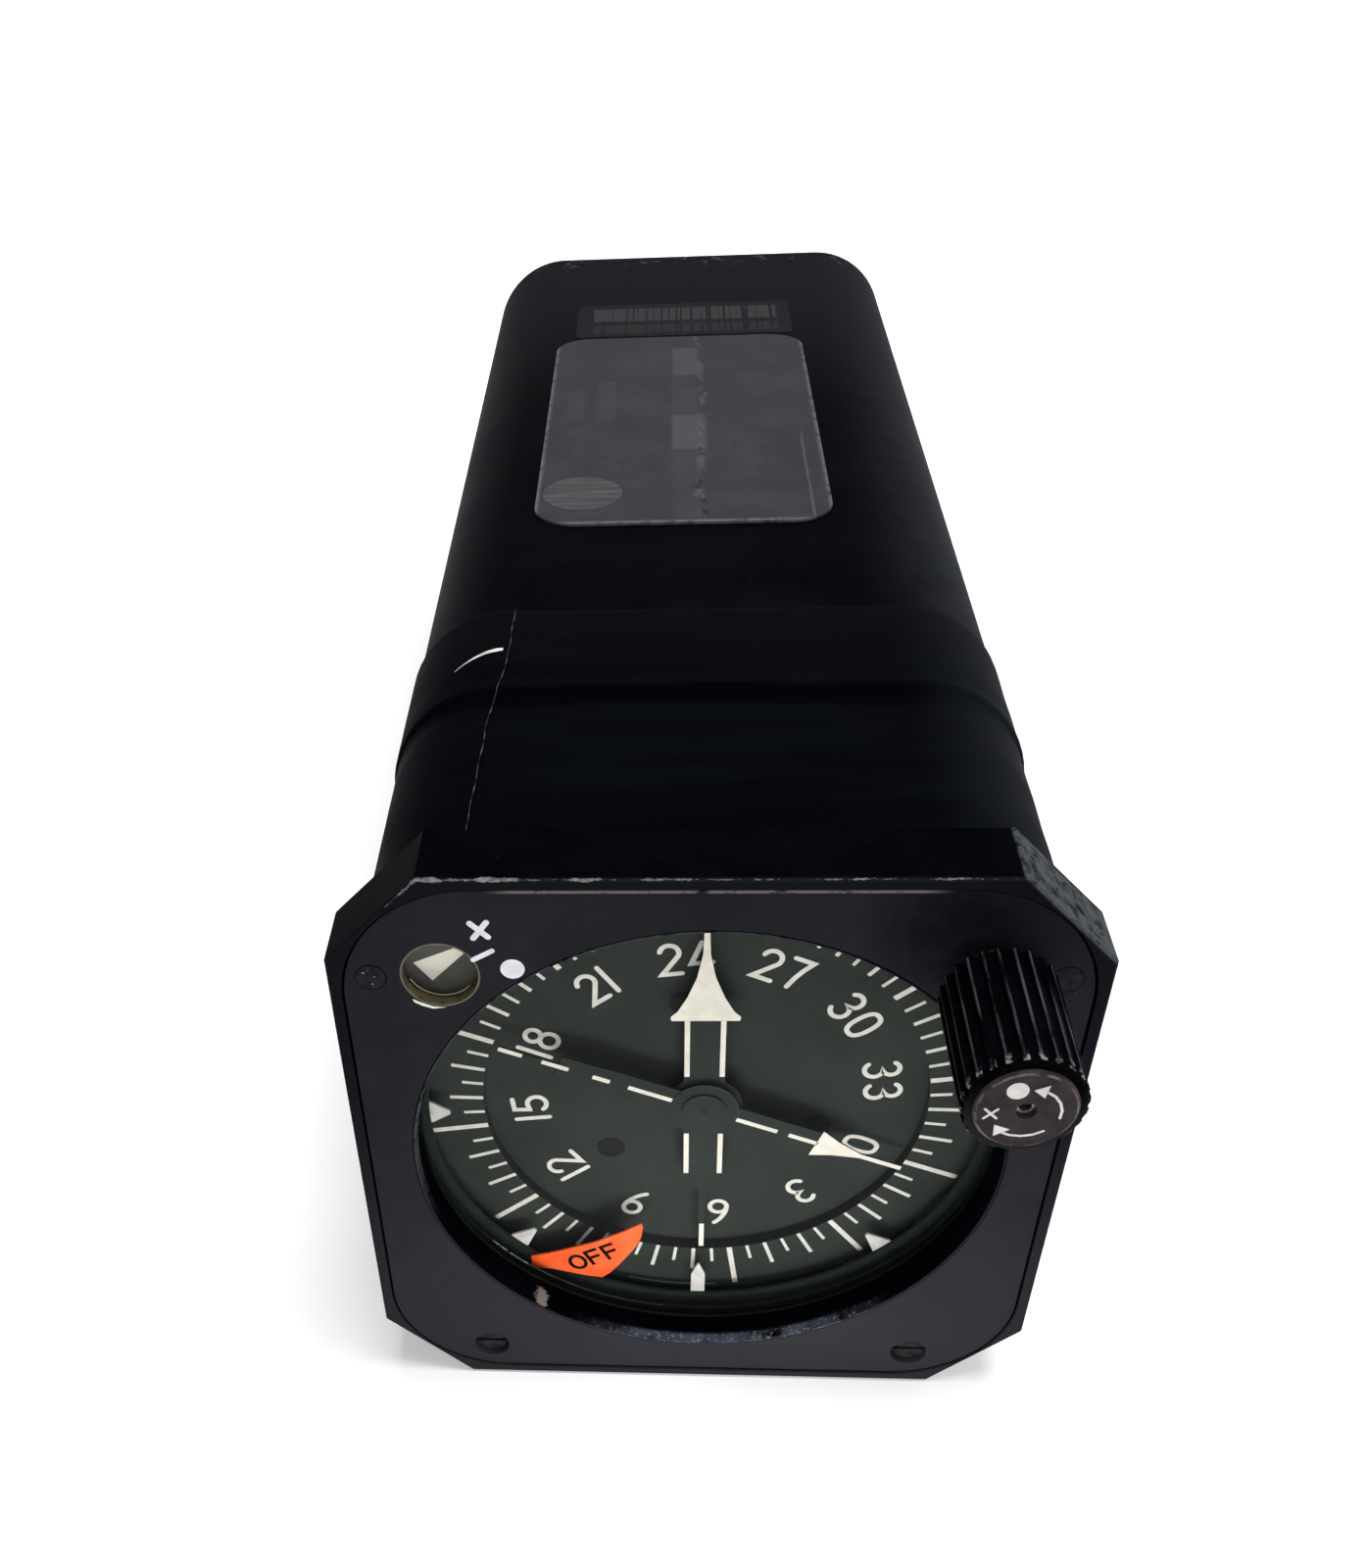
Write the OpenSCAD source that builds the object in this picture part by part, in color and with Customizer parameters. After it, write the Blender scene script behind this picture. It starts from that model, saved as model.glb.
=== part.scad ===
// Compass indicator for an instrument panel: a square flanged bezel with a lit face panel,
// a turning compass card under two pointers, an OFF flag, a sync annunciator and a push knob,
// and behind the panel a long rounded case full of gears, synchros and circuit boards.
// X is to the right of the dial, Y runs from the dial back into the case, Z is up.
// The origin is on the dial axis, in the plane of the flange's rear face.
// Depths are counted from the front face of the flange towards the rear.

/* [Flange and bezel] */
// Width and height of the square flange
flange_w = 82.6; // [81.5:0.1:86]
// Thickness of the flange
flange_t = 8.75; // [8:0.25:10]
// Leg of the cut corners
flange_corner = 10.75; // [9:0.25:12]
// Small bevel along the front edges of the flange
flange_bevel = 0.4; // [0.2:0.05:0.4]
// Step from the flange's side in to the register, which centres it in the panel's cut-out
register_inset = 1.9; // [1.7:0.05:2]
// Length of the register
register_t = 1; // [0.8:0.1:1.2]
// Step from the flange's side in to the neck
neck_inset = 2.8; // [2.1:0.05:2.8]
// Wall of the neck
neck_wall = 1.6; // [1:0.1:1.6]
// Depth at which the neck ends inside the case cover
neck_end = 56; // [50:1:60]
// Width from the flange's side to the bore round the dial
bore_rim = 7.4; // [7.25:0.05:7.6]
// Width of the bevel at the mouth of the bore
bore_bevel = 0.4; // [0.2:0.05:0.45]
// Depth of the seat that the window rests on
seat_depth = 4.2; // [4:0.05:4.4]
// Depth at which the front wall of the bezel ends
web_end = 7.1; // [6.9:0.05:7.3]

/* [Face panel] */
// Width of the flange's rim round the face panel
panel_rim = 1.6; // [1.4:0.05:2]
// Corner radius of the face panel
panel_corner = 14.5; // [14.2:0.1:18]
// Thickness of the face panel
panel_t = 2.2; // [1.8:0.1:2.4]
// How far the panel lies below the flange's front face
panel_sink = 0.25; // [0.1:0.05:0.4]
// Gap all round the panel in its recess
panel_gap = 0.25; // [0.1:0.05:0.4]
// Width of the bezel's ring between the bore and the panel's opening
bore_ring = 0.7; // [0.68:0.01:0.8]

/* [Window and mask] */
// How far the glass window reaches past the bore
glass_lap = 1.3; // [1.15:0.05:1.4]
// Thickness of the glass window
glass_t = 1.3; // [1:0.1:1.4]
// Thickness of the rubber ring in front of the glass
gasket_t = 0.5; // [0.4:0.05:0.6]
// Thickness of the ring that clamps the glass
clamp_t = 0.4; // [0.3:0.05:0.8]
// Depth of the mask's front face
mask_depth = 7.85; // [7.8:0.05:7.9]
// Thickness of the mask
mask_t = 0.5; // [0.4:0.05:0.5]
// How far the mask reaches inside the bore
mask_lap = 0.35; // [0.2:0.05:0.5]
// Length of the side index marks, measured inward from the mask
mark_len = 2.5; // [2:0.1:4]
// Length of the slanting index marks
slant_mark_len = 3.1; // [2:0.1:4.5]
// Length of the index mark at the top
top_mark_len = 4.6; // [3:0.1:5.5]
// Length of the house-shaped mark at the bottom
lubber_len = 5.6; // [4:0.1:7]

/* [Compass card] */
// How far the compass card reaches past the bore
card_lap = 1.1; // [0.8:0.05:1.2]
// Depth of the raised ring that carries the degree marks
card_depth = 10.4; // [10.4:0.05:10.6]
// Width of the raised ring
ring_w = 7.95; // [7:0.05:9]
// How far the number disc lies below the ring
card_step = 1.6; // [1.2:0.1:1.8]
// Thickness of the whole card
card_t = 2.8; // [2.7:0.1:3]
// Value under the top index, in degrees
card_heading = 248.65; // [0:0.05:360]
// Radius of the circle of card screws
card_screw_circle = 15; // [12:0.5:18]

/* [Pointers] */
// Gap from the tip of the wide double-bar pointer to the edge of the card
double_tip_gap = 6.4; // [6:0.1:7]
// Gap from the double-bar pointer's tail to the edge of the card
double_tail_gap = 9; // [7:0.1:12]
// Distance of each bar of the double pointer from its middle
double_bar = 2.1; // [1.8:0.1:2.6]
// Turn of the double-bar pointer from the top, clockwise
double_turn = -0.7; // [-180:0.1:180]
// Gap from the tip of the single-bar pointer to the edge of the card
single_tip_gap = 8.4; // [7:0.1:10]
// Turn of the single-bar pointer from the top, clockwise
single_turn = 111.8; // [-180:0.1:180]
// Thickness of the pointer and flag plates
plate_t = 0.25; // [0.15:0.01:0.3]

/* [Corner controls] */
// Distance of the knob and the annunciator from the flange's side
corner_inset_x = 12.3; // [12:0.1:12.6]
// Distance of the knob and the annunciator from the flange's top
corner_inset_z = 12.8; // [12.5:0.1:13]
// Radius of the annunciator's opening in the panel
annun_r = 4.35; // [4:0.05:4.6]
// Turn of the annunciator pointer from the top, clockwise
annun_turn = 57; // [40:1:80]
// Outer radius of the fluted knob
knob_r = 6.05; // [5.6:0.05:6.2]
// Length of the knob
knob_len = 17.2; // [14:0.1:20]
// Travel of the knob when it is pushed
knob_travel = 2; // [1.5:0.1:2.2]
// Number of flutes round the knob
knob_flutes = 24; // [18:1:28]
// Radius of the knob's shaft
knob_shaft_r = 1.6; // [1.5:0.05:1.8]

/* [Case] */
// Step from the flange's side in to the case cover
case_inset = 2.4; // [1.9:0.05:2.5]
// Wall of the case cover
case_wall = 0.8; // [0.6:0.1:0.8]
// Corner radius of the case cover
case_corner = 14; // [12.5:0.5:15]
// Depth at which the case cover starts
case_start = 41.6; // [40:0.2:46]
// Depth at which the case cover ends
case_end = 213; // [206:1:225]
// Thickness of the rear plate
rear_t = 2.5; // [2:0.1:3]
// Depth at which the tape starts
tape_start = 10; // [9.5:0.5:20]
// Depth at which the tape ends
tape_end = 62.2; // [55:0.2:70]
// Thickness of the tape
tape_t = 0.3; // [0.2:0.05:0.4]
// Length of the data plate along the case
plate_len = 78; // [60:1:82]
// Width of the data plate
plate_w = 43; // [30:1:50]
// Depth at which the data plate starts
plate_start = 88.5; // [80:0.5:92]
// Length of the small label behind the data plate
label_len = 17.6; // [10:0.2:20]
// Width of the small label
label_w = 38.8; // [30:0.2:50]

/* [Mechanism] */
// Gear module
gear_m = 0.8; // [0.76:0.01:0.8]
// Teeth of the large card gear
card_teeth = 48; // [48:1:48]
// Teeth of the equal gears that drive the synchros
synchro_teeth = 30; // [30:1:30]
// Teeth of the idler's pinion
idler_teeth = 12; // [12:1:12]
// Teeth of the motor's pinion
motor_teeth = 10; // [10:1:10]
// Teeth of the knob's gear
knob_teeth = 10; // [10:1:10]
// Teeth of the sync gear
sync_teeth = 24; // [24:1:24]
// Face width of every gear
gear_t = 2; // [1.5:0.1:2]
// Radius of the large synchros
synchro_r = 12.7; // [12:0.1:12.9]
// Length of the synchros and the motor
synchro_len = 40; // [34:1:42]
// Radius of the servo motor
motor_r = 11.9; // [10:0.1:12]
// Depth of the front mechanism plate
front_plate_depth = 16; // [15.8:0.1:16.5]
// Thickness of the mechanism plates
mech_t = 2.5; // [2:0.1:2.5]
// Depth of the middle mechanism plate
middle_plate_depth = 36; // [35.5:0.1:36.5]
// Space between the synchros and the rear mechanism plate
rear_mech_gap = 3.5; // [2:0.5:6]
// Radius of the spacer posts
post_r = 2; // [1.8:0.1:2.2]

/* [Electronics] */
// Space between the single pointer's synchro and the servo board
board_gap = 15.5; // [10:0.5:17]
// Distance from the servo board to the power board
board_pitch = 32; // [28:1:33]
// Thickness of the circuit boards
board_t = 1.6; // [1.2:0.1:2]
// Width of the transformer's core
transformer_w = 30; // [24:1:32]
// Height of the transformer's core
transformer_h = 26; // [20:1:28]
// Length of the transformer
transformer_len = 24; // [18:1:26]
// Radius of the large capacitors
capacitor_r = 4.5; // [3:0.1:5]
// Length of the large capacitors
capacitor_len = 14; // [8:0.5:18]

/* [Connector] */
// Outer radius of the connector shell
shell_r = 13; // [12.5:0.1:13.4]
// Length of the shell behind its flange
shell_len = 12; // [11:0.5:16]
// Wall of the connector shell
shell_wall = 1.6; // [1.2:0.1:2]
// Radius of the outer circle of pins
pin_circle = 7.8; // [7:0.1:8.4]
// Radius of a pin
pin_r = 0.7; // [0.5:0.05:0.8]
// Width of the connector's square flange
shell_flange_w = 32; // [31.5:0.5:34]

/* [Clearances] */
// Radial clearance of a shaft that turns in its hole
run_fit = 0.06; // [0.03:0.01:0.1]
// Clearance between pieces that are set into each other
seat_fit = 0.05; // [0.02:0.01:0.1]
// Smallest gap between a moving part and its surroundings
move_gap = 0.35; // [0.3:0.05:0.5]

/* [Hidden] */
$fn = 96;
eps = 0.01;
face_y = -flange_t;
panel_w = flange_w - 2 * panel_rim;
register_w = flange_w - 2 * register_inset;
neck_w = flange_w - 2 * neck_inset;
case_w = flange_w - 2 * case_inset;
bore_r = flange_w / 2 - bore_rim;
bevel_r = bore_r + bore_bevel;
panel_bore_r = bore_r + bore_ring;
glass_r = bore_r + glass_lap;
clamp_r = bore_r + 0.35;
mask_r = bore_r - mask_lap;
card_r = bore_r + card_lap;
ring_r = card_r - ring_w;
double_tip = card_r - double_tip_gap;
double_tail = card_r - double_tail_gap;
single_tip = card_r - single_tip_gap;
corner_x = flange_w / 2 - corner_inset_x;
corner_z = flange_w / 2 - corner_inset_z;

// Window stack, from the seat towards the rear
glass_depth = seat_depth + gasket_t;
clamp_depth = glass_depth + glass_t;
window_pocket_r = glass_r + 0.2;

// Neck and cavity
cavity_w = neck_w - 2 * neck_wall;
cavity_corner = case_corner - (case_w - cavity_w) / 2;
spigot_w = case_w - 2 * case_wall - 2 * 0.1;
mask_w = cavity_w - 0.6;
mech_w = cavity_w - 1;

// Depths of the dial's moving plates
flag_depth = web_end + 0.25;
marker_t = 0.3;
hub_depth = mask_depth + mask_t + marker_t + 0.25;
hub_t = 0.35;
single_depth = hub_depth + hub_t;
double_depth = single_depth + plate_t + 0.35;
card_back = card_depth + card_t;
card_flange_r = card_screw_circle + 2.5;
card_flange_t = 1;

// Coaxial shafts
single_shaft_r = 0.75;
double_tube_r = 1.5;
card_tube_r = 2.6;
card_bore_r = double_tube_r + run_fit;
double_bore_r = single_shaft_r + run_fit;
small_shaft_r = 1;
bearing_r = 5;

// Gear planes, as depths
card_gear_depth = front_plate_depth + mech_t + 2;
transfer_depth = card_gear_depth + gear_t + 0.7;
idler_depth = transfer_depth + gear_t + 0.8;
double_gear_depth = idler_depth + gear_t + 1;
sync_depth = double_gear_depth + gear_t + 1;
shaft_in = 8;
middle_back = middle_plate_depth + mech_t;
rear_mech_depth = middle_back + synchro_len + rear_mech_gap;
rear_mech_back = rear_mech_depth + mech_t;

// Centres of the gear train, found from the tooth numbers
function pitch_r(n) = gear_m * n / 2;
function polar(r, a) = [r * cos(a), r * sin(a)];
transfer_dist = 2 * pitch_r(synchro_teeth);
heading_angle = 225;
bearing_angle = 135;
idler_angle = -60;
motor_angle = 45;
sync_angle = 224;
heading_at = polar(transfer_dist, heading_angle);
bearing_at = polar(transfer_dist, bearing_angle);
idler_at = polar(pitch_r(card_teeth) + pitch_r(idler_teeth), idler_angle);
motor_at = idler_at + polar(pitch_r(synchro_teeth) + pitch_r(motor_teeth), motor_angle);
knob_at = [corner_x, corner_z];
sync_at = knob_at + polar(pitch_r(knob_teeth) + pitch_r(sync_teeth), sync_angle);
annun_at = [-corner_x, corner_z];

// Flag and its meter
flag_pivot = polar(card_r - 7.797, 216.027);
flag_post_at = polar(card_r + 2.1, 232.667);
flag_swing = 62;
flag_meter_r = 6.2;
flag_arm_depth = card_back + 0.7;
flag_arm_t = 0.6;

// Annunciator
annun_plate_r = annun_r + 0.65;
annun_depth = panel_sink + panel_t + 0.35;
annun_pocket_r = annun_plate_r + move_gap;
annun_meter_r = 4.3;
annun_meter_pocket = annun_meter_r + 0.2;
annun_meter_len = 10.5;

// Knob
knob_gap = knob_travel + 0.4;
knob_back = -knob_gap;
knob_front = knob_back - knob_len;
knob_cap_r = knob_r - 1;
bush_r = 2.9;
bush_flange_r = 3.6;
bush_end = web_end + 0.4;
spring_wire = 0.5;
spring_r = knob_shaft_r + 0.95;
spring_turns = 6;
square_side = 2;
square_gap = 0.06;
knob_hub_r = 2.5;

// Rear end and posts
rear_face = case_end + rear_t;
mech_half = mech_w / 2;
posts_at = [[0, mech_half - 2.9], [mech_half - 3.2, 6], [0, 2.9 - mech_half], [3.2 - mech_half, 0]];
pillar_side = mech_half - 11.9;
pillar_top = mech_half - 2.8;
pillar_low = mech_half - 9.1;
pillars_at = [[pillar_side, pillar_top], [-pillar_side, pillar_top], [pillar_low, -pillar_low]];
pillar_r = 2;
panel_half = panel_w / 2;
panel_screws_at = [
    [-panel_half + 3.2, corner_z - 0.3], [panel_half - 3.2, corner_z - 0.3],
    [-panel_half + 12.2, -panel_half + 4.2], [panel_half - 12.2, -panel_half + 4.2]
];
lamps_at = [for (sx = [-1, 1], sz = [-1, 1]) [9 * sx, (panel_half - 2.4) * sz]];
servo_board_depth = rear_mech_back + synchro_len + board_gap;
power_board_depth = servo_board_depth + board_pitch;
board_w = case_w - 2 * case_wall - 3;

// Shared shapes

// A drawing in front view, X right and Z up, made solid from one depth to another
module slab(d1, d2) {
    translate([0, face_y + d2, 0]) rotate([90, 0, 0]) linear_extrude(d2 - d1) children();
}

// A disc, or a ring where an inner radius is given, from one depth to another
module disc(d1, d2, r, at = [0, 0], inner = 0) {
    slab(d1, d2) translate(at) difference() {
        circle(r);
        if (inner > 0) circle(inner);
    }
}

// A cone frustum whose radius goes from r1 at depth d1 to r2 at depth d2
module taper(d1, d2, r1, r2, at = [0, 0]) {
    translate([at[0], face_y + d2, at[1]]) rotate([90, 0, 0]) cylinder(h = d2 - d1, r1 = r2, r2 = r1);
}

// A square with round corners, in two dimensions
module rounded(w, h, r) {
    square([w - 2 * r, h], center = true);
    square([w, h - 2 * r], center = true);
    for (sx = [-1, 1], sz = [-1, 1]) translate([sx * (w / 2 - r), sz * (h / 2 - r)]) circle(r);
}

// Outline of the flange, a square with cut corners
module octagon(w, leg) {
    h = w / 2;
    c = h - leg;
    polygon([[-c, -h], [c, -h], [h, -c], [h, c], [c, h], [-c, h], [-h, c], [-h, -c]]);
}

// Section of the case, grown or shrunk from the cover's outer size
module case_section(w) {
    rounded(w, w, case_corner - (case_w - w) / 2);
}

// Gear tooth profile
pressure_angle = 25;
tooth_add = 0.8;
tooth_ded = 1.1;
backlash = 0.2;
function inv_angle(r, rb) = r > rb ? tan(acos(rb / r)) * 180 / PI - acos(rb / r) : 0;
function half_tooth(n, r) =
    let (rp = pitch_r(n), rb = rp * cos(pressure_angle))
    90 / n - backlash / 4 / rp * 180 / PI + inv_angle(rp, rb) - inv_angle(r, rb);
function tooth_points(n, a) =
    let (rp = pitch_r(n), ro = rp + tooth_add * gear_m, ri = rp - tooth_ded * gear_m,
        rf = max(rp * cos(pressure_angle), ri + 0.15), rm = (rf + ro) / 2)
    [
        polar(ri, a - half_tooth(n, rf) - 20 / n), polar(rf, a - half_tooth(n, rf)),
        polar(rm, a - half_tooth(n, rm)), polar(ro, a - half_tooth(n, ro)),
        polar(ro, a + half_tooth(n, ro)), polar(rm, a + half_tooth(n, rm)),
        polar(rf, a + half_tooth(n, rf)), polar(ri, a + half_tooth(n, rf) + 20 / n)
    ];

// A spur gear with n teeth, one of them at the angle a, with a round hole
module gear(n, a, hole) {
    difference() {
        polygon([for (k = [0 : n - 1]) each tooth_points(n, a + 360 * k / n)]);
        if (hole > 0) circle(hole);
    }
}

// Angle of a tooth on the second gear so that it meshes with the first
function mesh_angle(n1, a1, n2, direction) =
    direction + 180 - 360 / n2 * (0.5 - (direction - a1) * n1 / 360);

// Sweep of a round wire along points
function unit(v) = v / norm(v);
function ring_at(p, dir, r, sides) =
    let (u = unit(cross(dir, [0, 1, 0.001])), v = unit(cross(dir, u)))
    [for (k = [0 : sides - 1]) p + r * (cos(360 * k / sides) * u + sin(360 * k / sides) * v)];
module wire(pts, r, sides) {
    n = len(pts);
    dirs = [for (k = [0 : n - 1]) unit(pts[min(k + 1, n - 1)] - pts[max(k - 1, 0)])];
    points = [for (k = [0 : n - 1]) each ring_at(pts[k], dirs[k], r, sides)];
    skin = [
        for (k = [0 : n - 2], j = [0 : sides - 1])
            [k * sides + j, k * sides + (j + 1) % sides,
            (k + 1) * sides + (j + 1) % sides, (k + 1) * sides + j]
    ];
    halves = [for (q = skin) each [[q[0], q[1], q[2]], [q[0], q[2], q[3]]]];
    first = [for (j = [sides - 1 : -1 : 0]) j];
    last = [for (j = [0 : sides - 1]) (n - 1) * sides + j];
    polyhedron(points, concat(halves, [first, last]));
}

// A screw whose slotted head stands in front of the depth d, with its shank behind
module front_screw(at, d, head_r, head_t, shank_r, shank_len) {
    difference() {
        union() {
            disc(d - head_t, d, head_r, at);
            disc(d - eps, d + shank_len, shank_r, at);
        }
        slab(d - head_t - 1, d - head_t * 0.5) translate(at)
            square([2.4 * head_r, head_r * 0.3], center = true);
    }
}

// The same screw turned round, with its head behind the depth d
module rear_screw(at, d, head_r, head_t, shank_r, shank_len) {
    difference() {
        union() {
            disc(d, d + head_t, head_r, at);
            disc(d - shank_len, d + eps, shank_r, at);
        }
        slab(d + head_t * 0.5, d + head_t + 1) translate(at)
            square([2.4 * head_r, head_r * 0.3], center = true);
    }
}

// Bezel casting: flange, front wall, neck and the three pillars for the mechanism
module bezel() {
    color("#16171a") difference() {
        union() {
            flange();
            slab(flange_t - eps, flange_t + register_t) case_section(register_w);
            slab(flange_t, case_start) case_section(neck_w);
            slab(case_start - eps, neck_end) case_section(spigot_w);
        }
        slab(-1, panel_sink + panel_t) bezel_recess();
        disc(0, seat_depth + eps, bore_r);
        taper(panel_sink, panel_sink + 2.4, bevel_r, bore_r - eps);
        disc(seat_depth, web_end + 1, window_pocket_r);
        difference() {
            slab(web_end, neck_end + 1) rounded(cavity_w, cavity_w, cavity_corner);
            for (p = pillars_at) disc(web_end - 1, front_plate_depth, pillar_r, p);
        }
        disc(panel_sink + panel_t - eps, seat_depth - 0.8, annun_pocket_r, annun_at);
        disc(seat_depth - 1, web_end + 1, annun_meter_pocket, annun_at);
        disc(0, web_end + 1, bush_r + seat_fit, knob_at);
        for (p = pillars_at) disc(front_plate_depth - 5, front_plate_depth + 1, small_shaft_r, p);
        for (p = panel_screws_at) disc(0, web_end - 1.2, small_shaft_r + seat_fit, p);
        for (p = lamps_at) disc(0, web_end - 1.5, 1.35, p);
    }
}

// Recess of the face panel, with the ring round the bore left standing
module bezel_recess() {
    difference() {
        rounded(panel_w + 2 * panel_gap, panel_w + 2 * panel_gap, panel_corner + panel_gap);
        circle(panel_bore_r - 0.12);
    }
}

// Flange with a small bevel along its front edges
module flange() {
    side = flange_w / 2;
    corner = (flange_w - flange_corner) / sqrt(2);
    difference() {
        slab(0, flange_t) octagon(flange_w, flange_corner);
        for (k = [0 : 7])
            rotate([0, 45 * k, 0]) translate([0, face_y, k % 2 == 0 ? side : corner])
                rotate([45, 0, 0])
                    cube([flange_w, flange_bevel * sqrt(2), flange_bevel * sqrt(2)], center = true);
        slab(-1, panel_sink) circle(panel_bore_r - 0.12);
    }
}

// Lit face panel with openings for the dial, the annunciator, the knob and the screws
module face_panel() {
    color("#26262b") difference() {
        slab(panel_sink, panel_sink + panel_t) rounded(panel_w, panel_w, panel_corner);
        disc(-1, panel_t + 1, panel_bore_r);
        disc(-1, panel_t + 1, annun_r, annun_at);
        disc(-1, panel_t + 1, bush_flange_r + seat_fit, knob_at);
        for (p = panel_screws_at) {
            disc(-1, panel_t + 1, 1.15, p);
            disc(-1, panel_sink + panel_recess(p), panel_hole_r(p), p);
        }
    }
}

// The lower screws sit deep in wide holes, the upper ones nearly flush in small ones
function panel_hole_r(p) = p[1] < 0 ? 2.3 : 1.7;
function panel_recess(p) = p[1] < 0 ? 1.5 : 0.8;
module face_panel_screws() {
    color("#1c1c1e")
        for (p = panel_screws_at)
            front_screw(p, panel_sink + panel_recess(p), panel_hole_r(p) - 0.25, 0.7, small_shaft_r, 3.2);
}

// Small lamps behind the panel
module panel_lamps() {
    color("#d8cfa8") for (p = lamps_at) disc(panel_sink + panel_t + 0.1, web_end - 1.6, 1.25, p);
}

// Rubber ring, window and clamp ring
module window_gasket() {
    color("#101010") disc(seat_depth, glass_depth, glass_r, [0, 0], bore_r + 0.1);
}
module window_glass() {
    color("lightblue", 0.25) disc(glass_depth, clamp_depth, glass_r);
}
module window_clamp_ring() {
    color("#202020") disc(clamp_depth, clamp_depth + clamp_t, glass_r + 0.1, [0, 0], clamp_r);
}

// Mask behind the window, and the marks that reach inward from it
module dial_mask() {
    color("#20241f") slab(mask_depth, mask_depth + mask_t) difference() {
        rounded(mask_w, mask_w, cavity_corner - 0.3);
        circle(mask_r);
        translate(annun_at) circle(annun_meter_pocket);
        translate(knob_at) circle(bush_r + 0.1);
        for (p = pillars_at) translate(p) circle(pillar_r + seat_fit);
        flag_slot();
    }
}

// Slot in the mask for the flag's post, as far as the flag swings
module flag_slot() {
    reach = flag_post_at - flag_pivot;
    start = atan2(reach[1], reach[0]);
    translate(flag_pivot) intersection() {
        difference() {
            circle(norm(reach) + 0.6 + move_gap);
            circle(norm(reach) - 0.6 - move_gap);
        }
        polygon([
            [0, 0], polar(30, start + 5), polar(30, start - flag_swing / 2), polar(30, start - flag_swing - 5)
        ]);
    }
}
module index_marks() {
    color("#d9d6c8") slab(mask_depth + mask_t, mask_depth + mask_t + marker_t) {
        index_mark(top_mark_len, 2);
        for (a = [90, 270]) rotate(a) index_mark(mark_len, 1.7);
        for (a = [45 : 90 : 315]) rotate(a) index_mark(slant_mark_len, 1.4);
        rotate(180) lubber_mark();
    }
}
module index_mark(len, half) {
    tip = mask_r - len;
    polygon([
        [-half, mask_r - 0.2], [-half, mask_r + 0.8], [half, mask_r + 0.8],
        [half, mask_r - 0.2], [0.25, tip], [-0.25, tip]
    ]);
}
module lubber_mark() {
    tip = mask_r - lubber_len;
    half = 0.92;
    polygon([
        [-half, mask_r + 0.8], [half, mask_r + 0.8], [half, tip + 2.1],
        [0.1, tip], [-0.1, tip], [-half, tip + 2.1]
    ]);
}

// Compass card: a raised ring for the degree marks and a sunk disc for the numbers
module compass_card() {
    color("#2b322e") difference() {
        disc(card_depth, card_back, card_r, [0, 0], card_tube_r + seat_fit);
        disc(card_depth - 1, card_depth + card_step, ring_r);
        for (k = [0 : 2]) {
            disc(card_depth, card_back + 1, 0.75, card_screw_at(k));
            taper(card_depth + card_step - eps, card_depth + card_step + 0.75, 1.85, 1.1, card_screw_at(k));
        }
    }
}
function card_screw_at(k) = polar(card_screw_circle, -20.5 - 120 * k);
module card_screws() {
    color("#2a2f2b") for (k = [0 : 2]) {
        taper(card_depth + card_step + 0.1, card_depth + card_step + 0.75, 1.7, 1.05, card_screw_at(k));
        disc(card_depth + card_step + 0.7, card_back + 1, 0.7, card_screw_at(k));
    }
}

// Tube that carries the card, with the flange that the card is screwed to
module card_tube() {
    color("#b9b39a") difference() {
        union() {
            disc(card_depth + card_step - 0.2, transfer_depth + gear_t + 0.3, card_tube_r);
            disc(card_back, card_back + card_flange_t, card_flange_r);
        }
        disc(card_depth, transfer_depth + gear_t + 1, card_bore_r);
        for (k = [0 : 2]) disc(card_back - 1, card_back + 2, 0.75, card_screw_at(k));
    }
}

// Two gears cut on one hub: the large one is driven, the small one drives the synchro
module card_gear() {
    hole = card_tube_r + seat_fit;
    color("#c2a14d") {
        difference() {
            union() {
                slab(card_gear_depth, card_gear_depth + gear_t) gear(card_teeth, 0, 0);
                disc(card_gear_depth + gear_t - eps, transfer_depth + eps, 5);
                slab(transfer_depth, transfer_depth + gear_t) gear(synchro_teeth, 0, 0);
            }
            disc(card_gear_depth - 1, transfer_depth + gear_t + 1, hole);
            for (a = [36 : 72 : 324])
                disc(card_gear_depth - 1, transfer_depth - 0.2, 3.4, polar(pitch_r(card_teeth) * 0.62, a));
        }
    }
}
module card_bearing() {
    color("silver") {
        disc(front_plate_depth, front_plate_depth + mech_t, bearing_r, [0, 0], card_tube_r + run_fit);
    }
}

// Double-bar pointer: arrow head, two bars on a narrow plate, tail and hub disc
module double_pointer() {
    head_base = 13.8;
    head_half = 4;
    side = double_bar + 0.4;
    color("#dcd8c8") slab(double_depth, double_depth + plate_t) rotate(-double_turn) difference() {
        union() {
            circle(4.75);
            polygon([[-side, -12.4], [side, -12.4], [side, head_base + 0.6], [-side, head_base + 0.6]]);
            polygon([
                [head_half, head_base + 0.1], [head_half + 0.1, head_base + 0.7],
                [head_half - 0.7, head_base + 1.5],
                [2.2, head_base + 3.6], [1.1, head_base + 6.6], [0.45, head_base + 10], [0.3, double_tip],
                [-0.3, double_tip], [-0.45, head_base + 10], [-1.1, head_base + 6.6], [-2.2, head_base + 3.6],
                [-head_half + 0.7, head_base + 1.5],
                [-head_half - 0.1, head_base + 0.7], [-head_half, head_base + 0.1]
            ]);
            polygon([
                [-side, -12.3], [-0.4, -15.5], [-0.4, -double_tail],
                [0.4, -double_tail], [0.4, -15.5], [side, -12.3]
            ]);
        }
        circle(double_tube_r + seat_fit);
    }
}
module double_pointer_tube() {
    color("#b8b8b4") disc(double_depth - 0.1, middle_back - 0.5, double_tube_r, [0, 0], double_bore_r);
}
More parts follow.
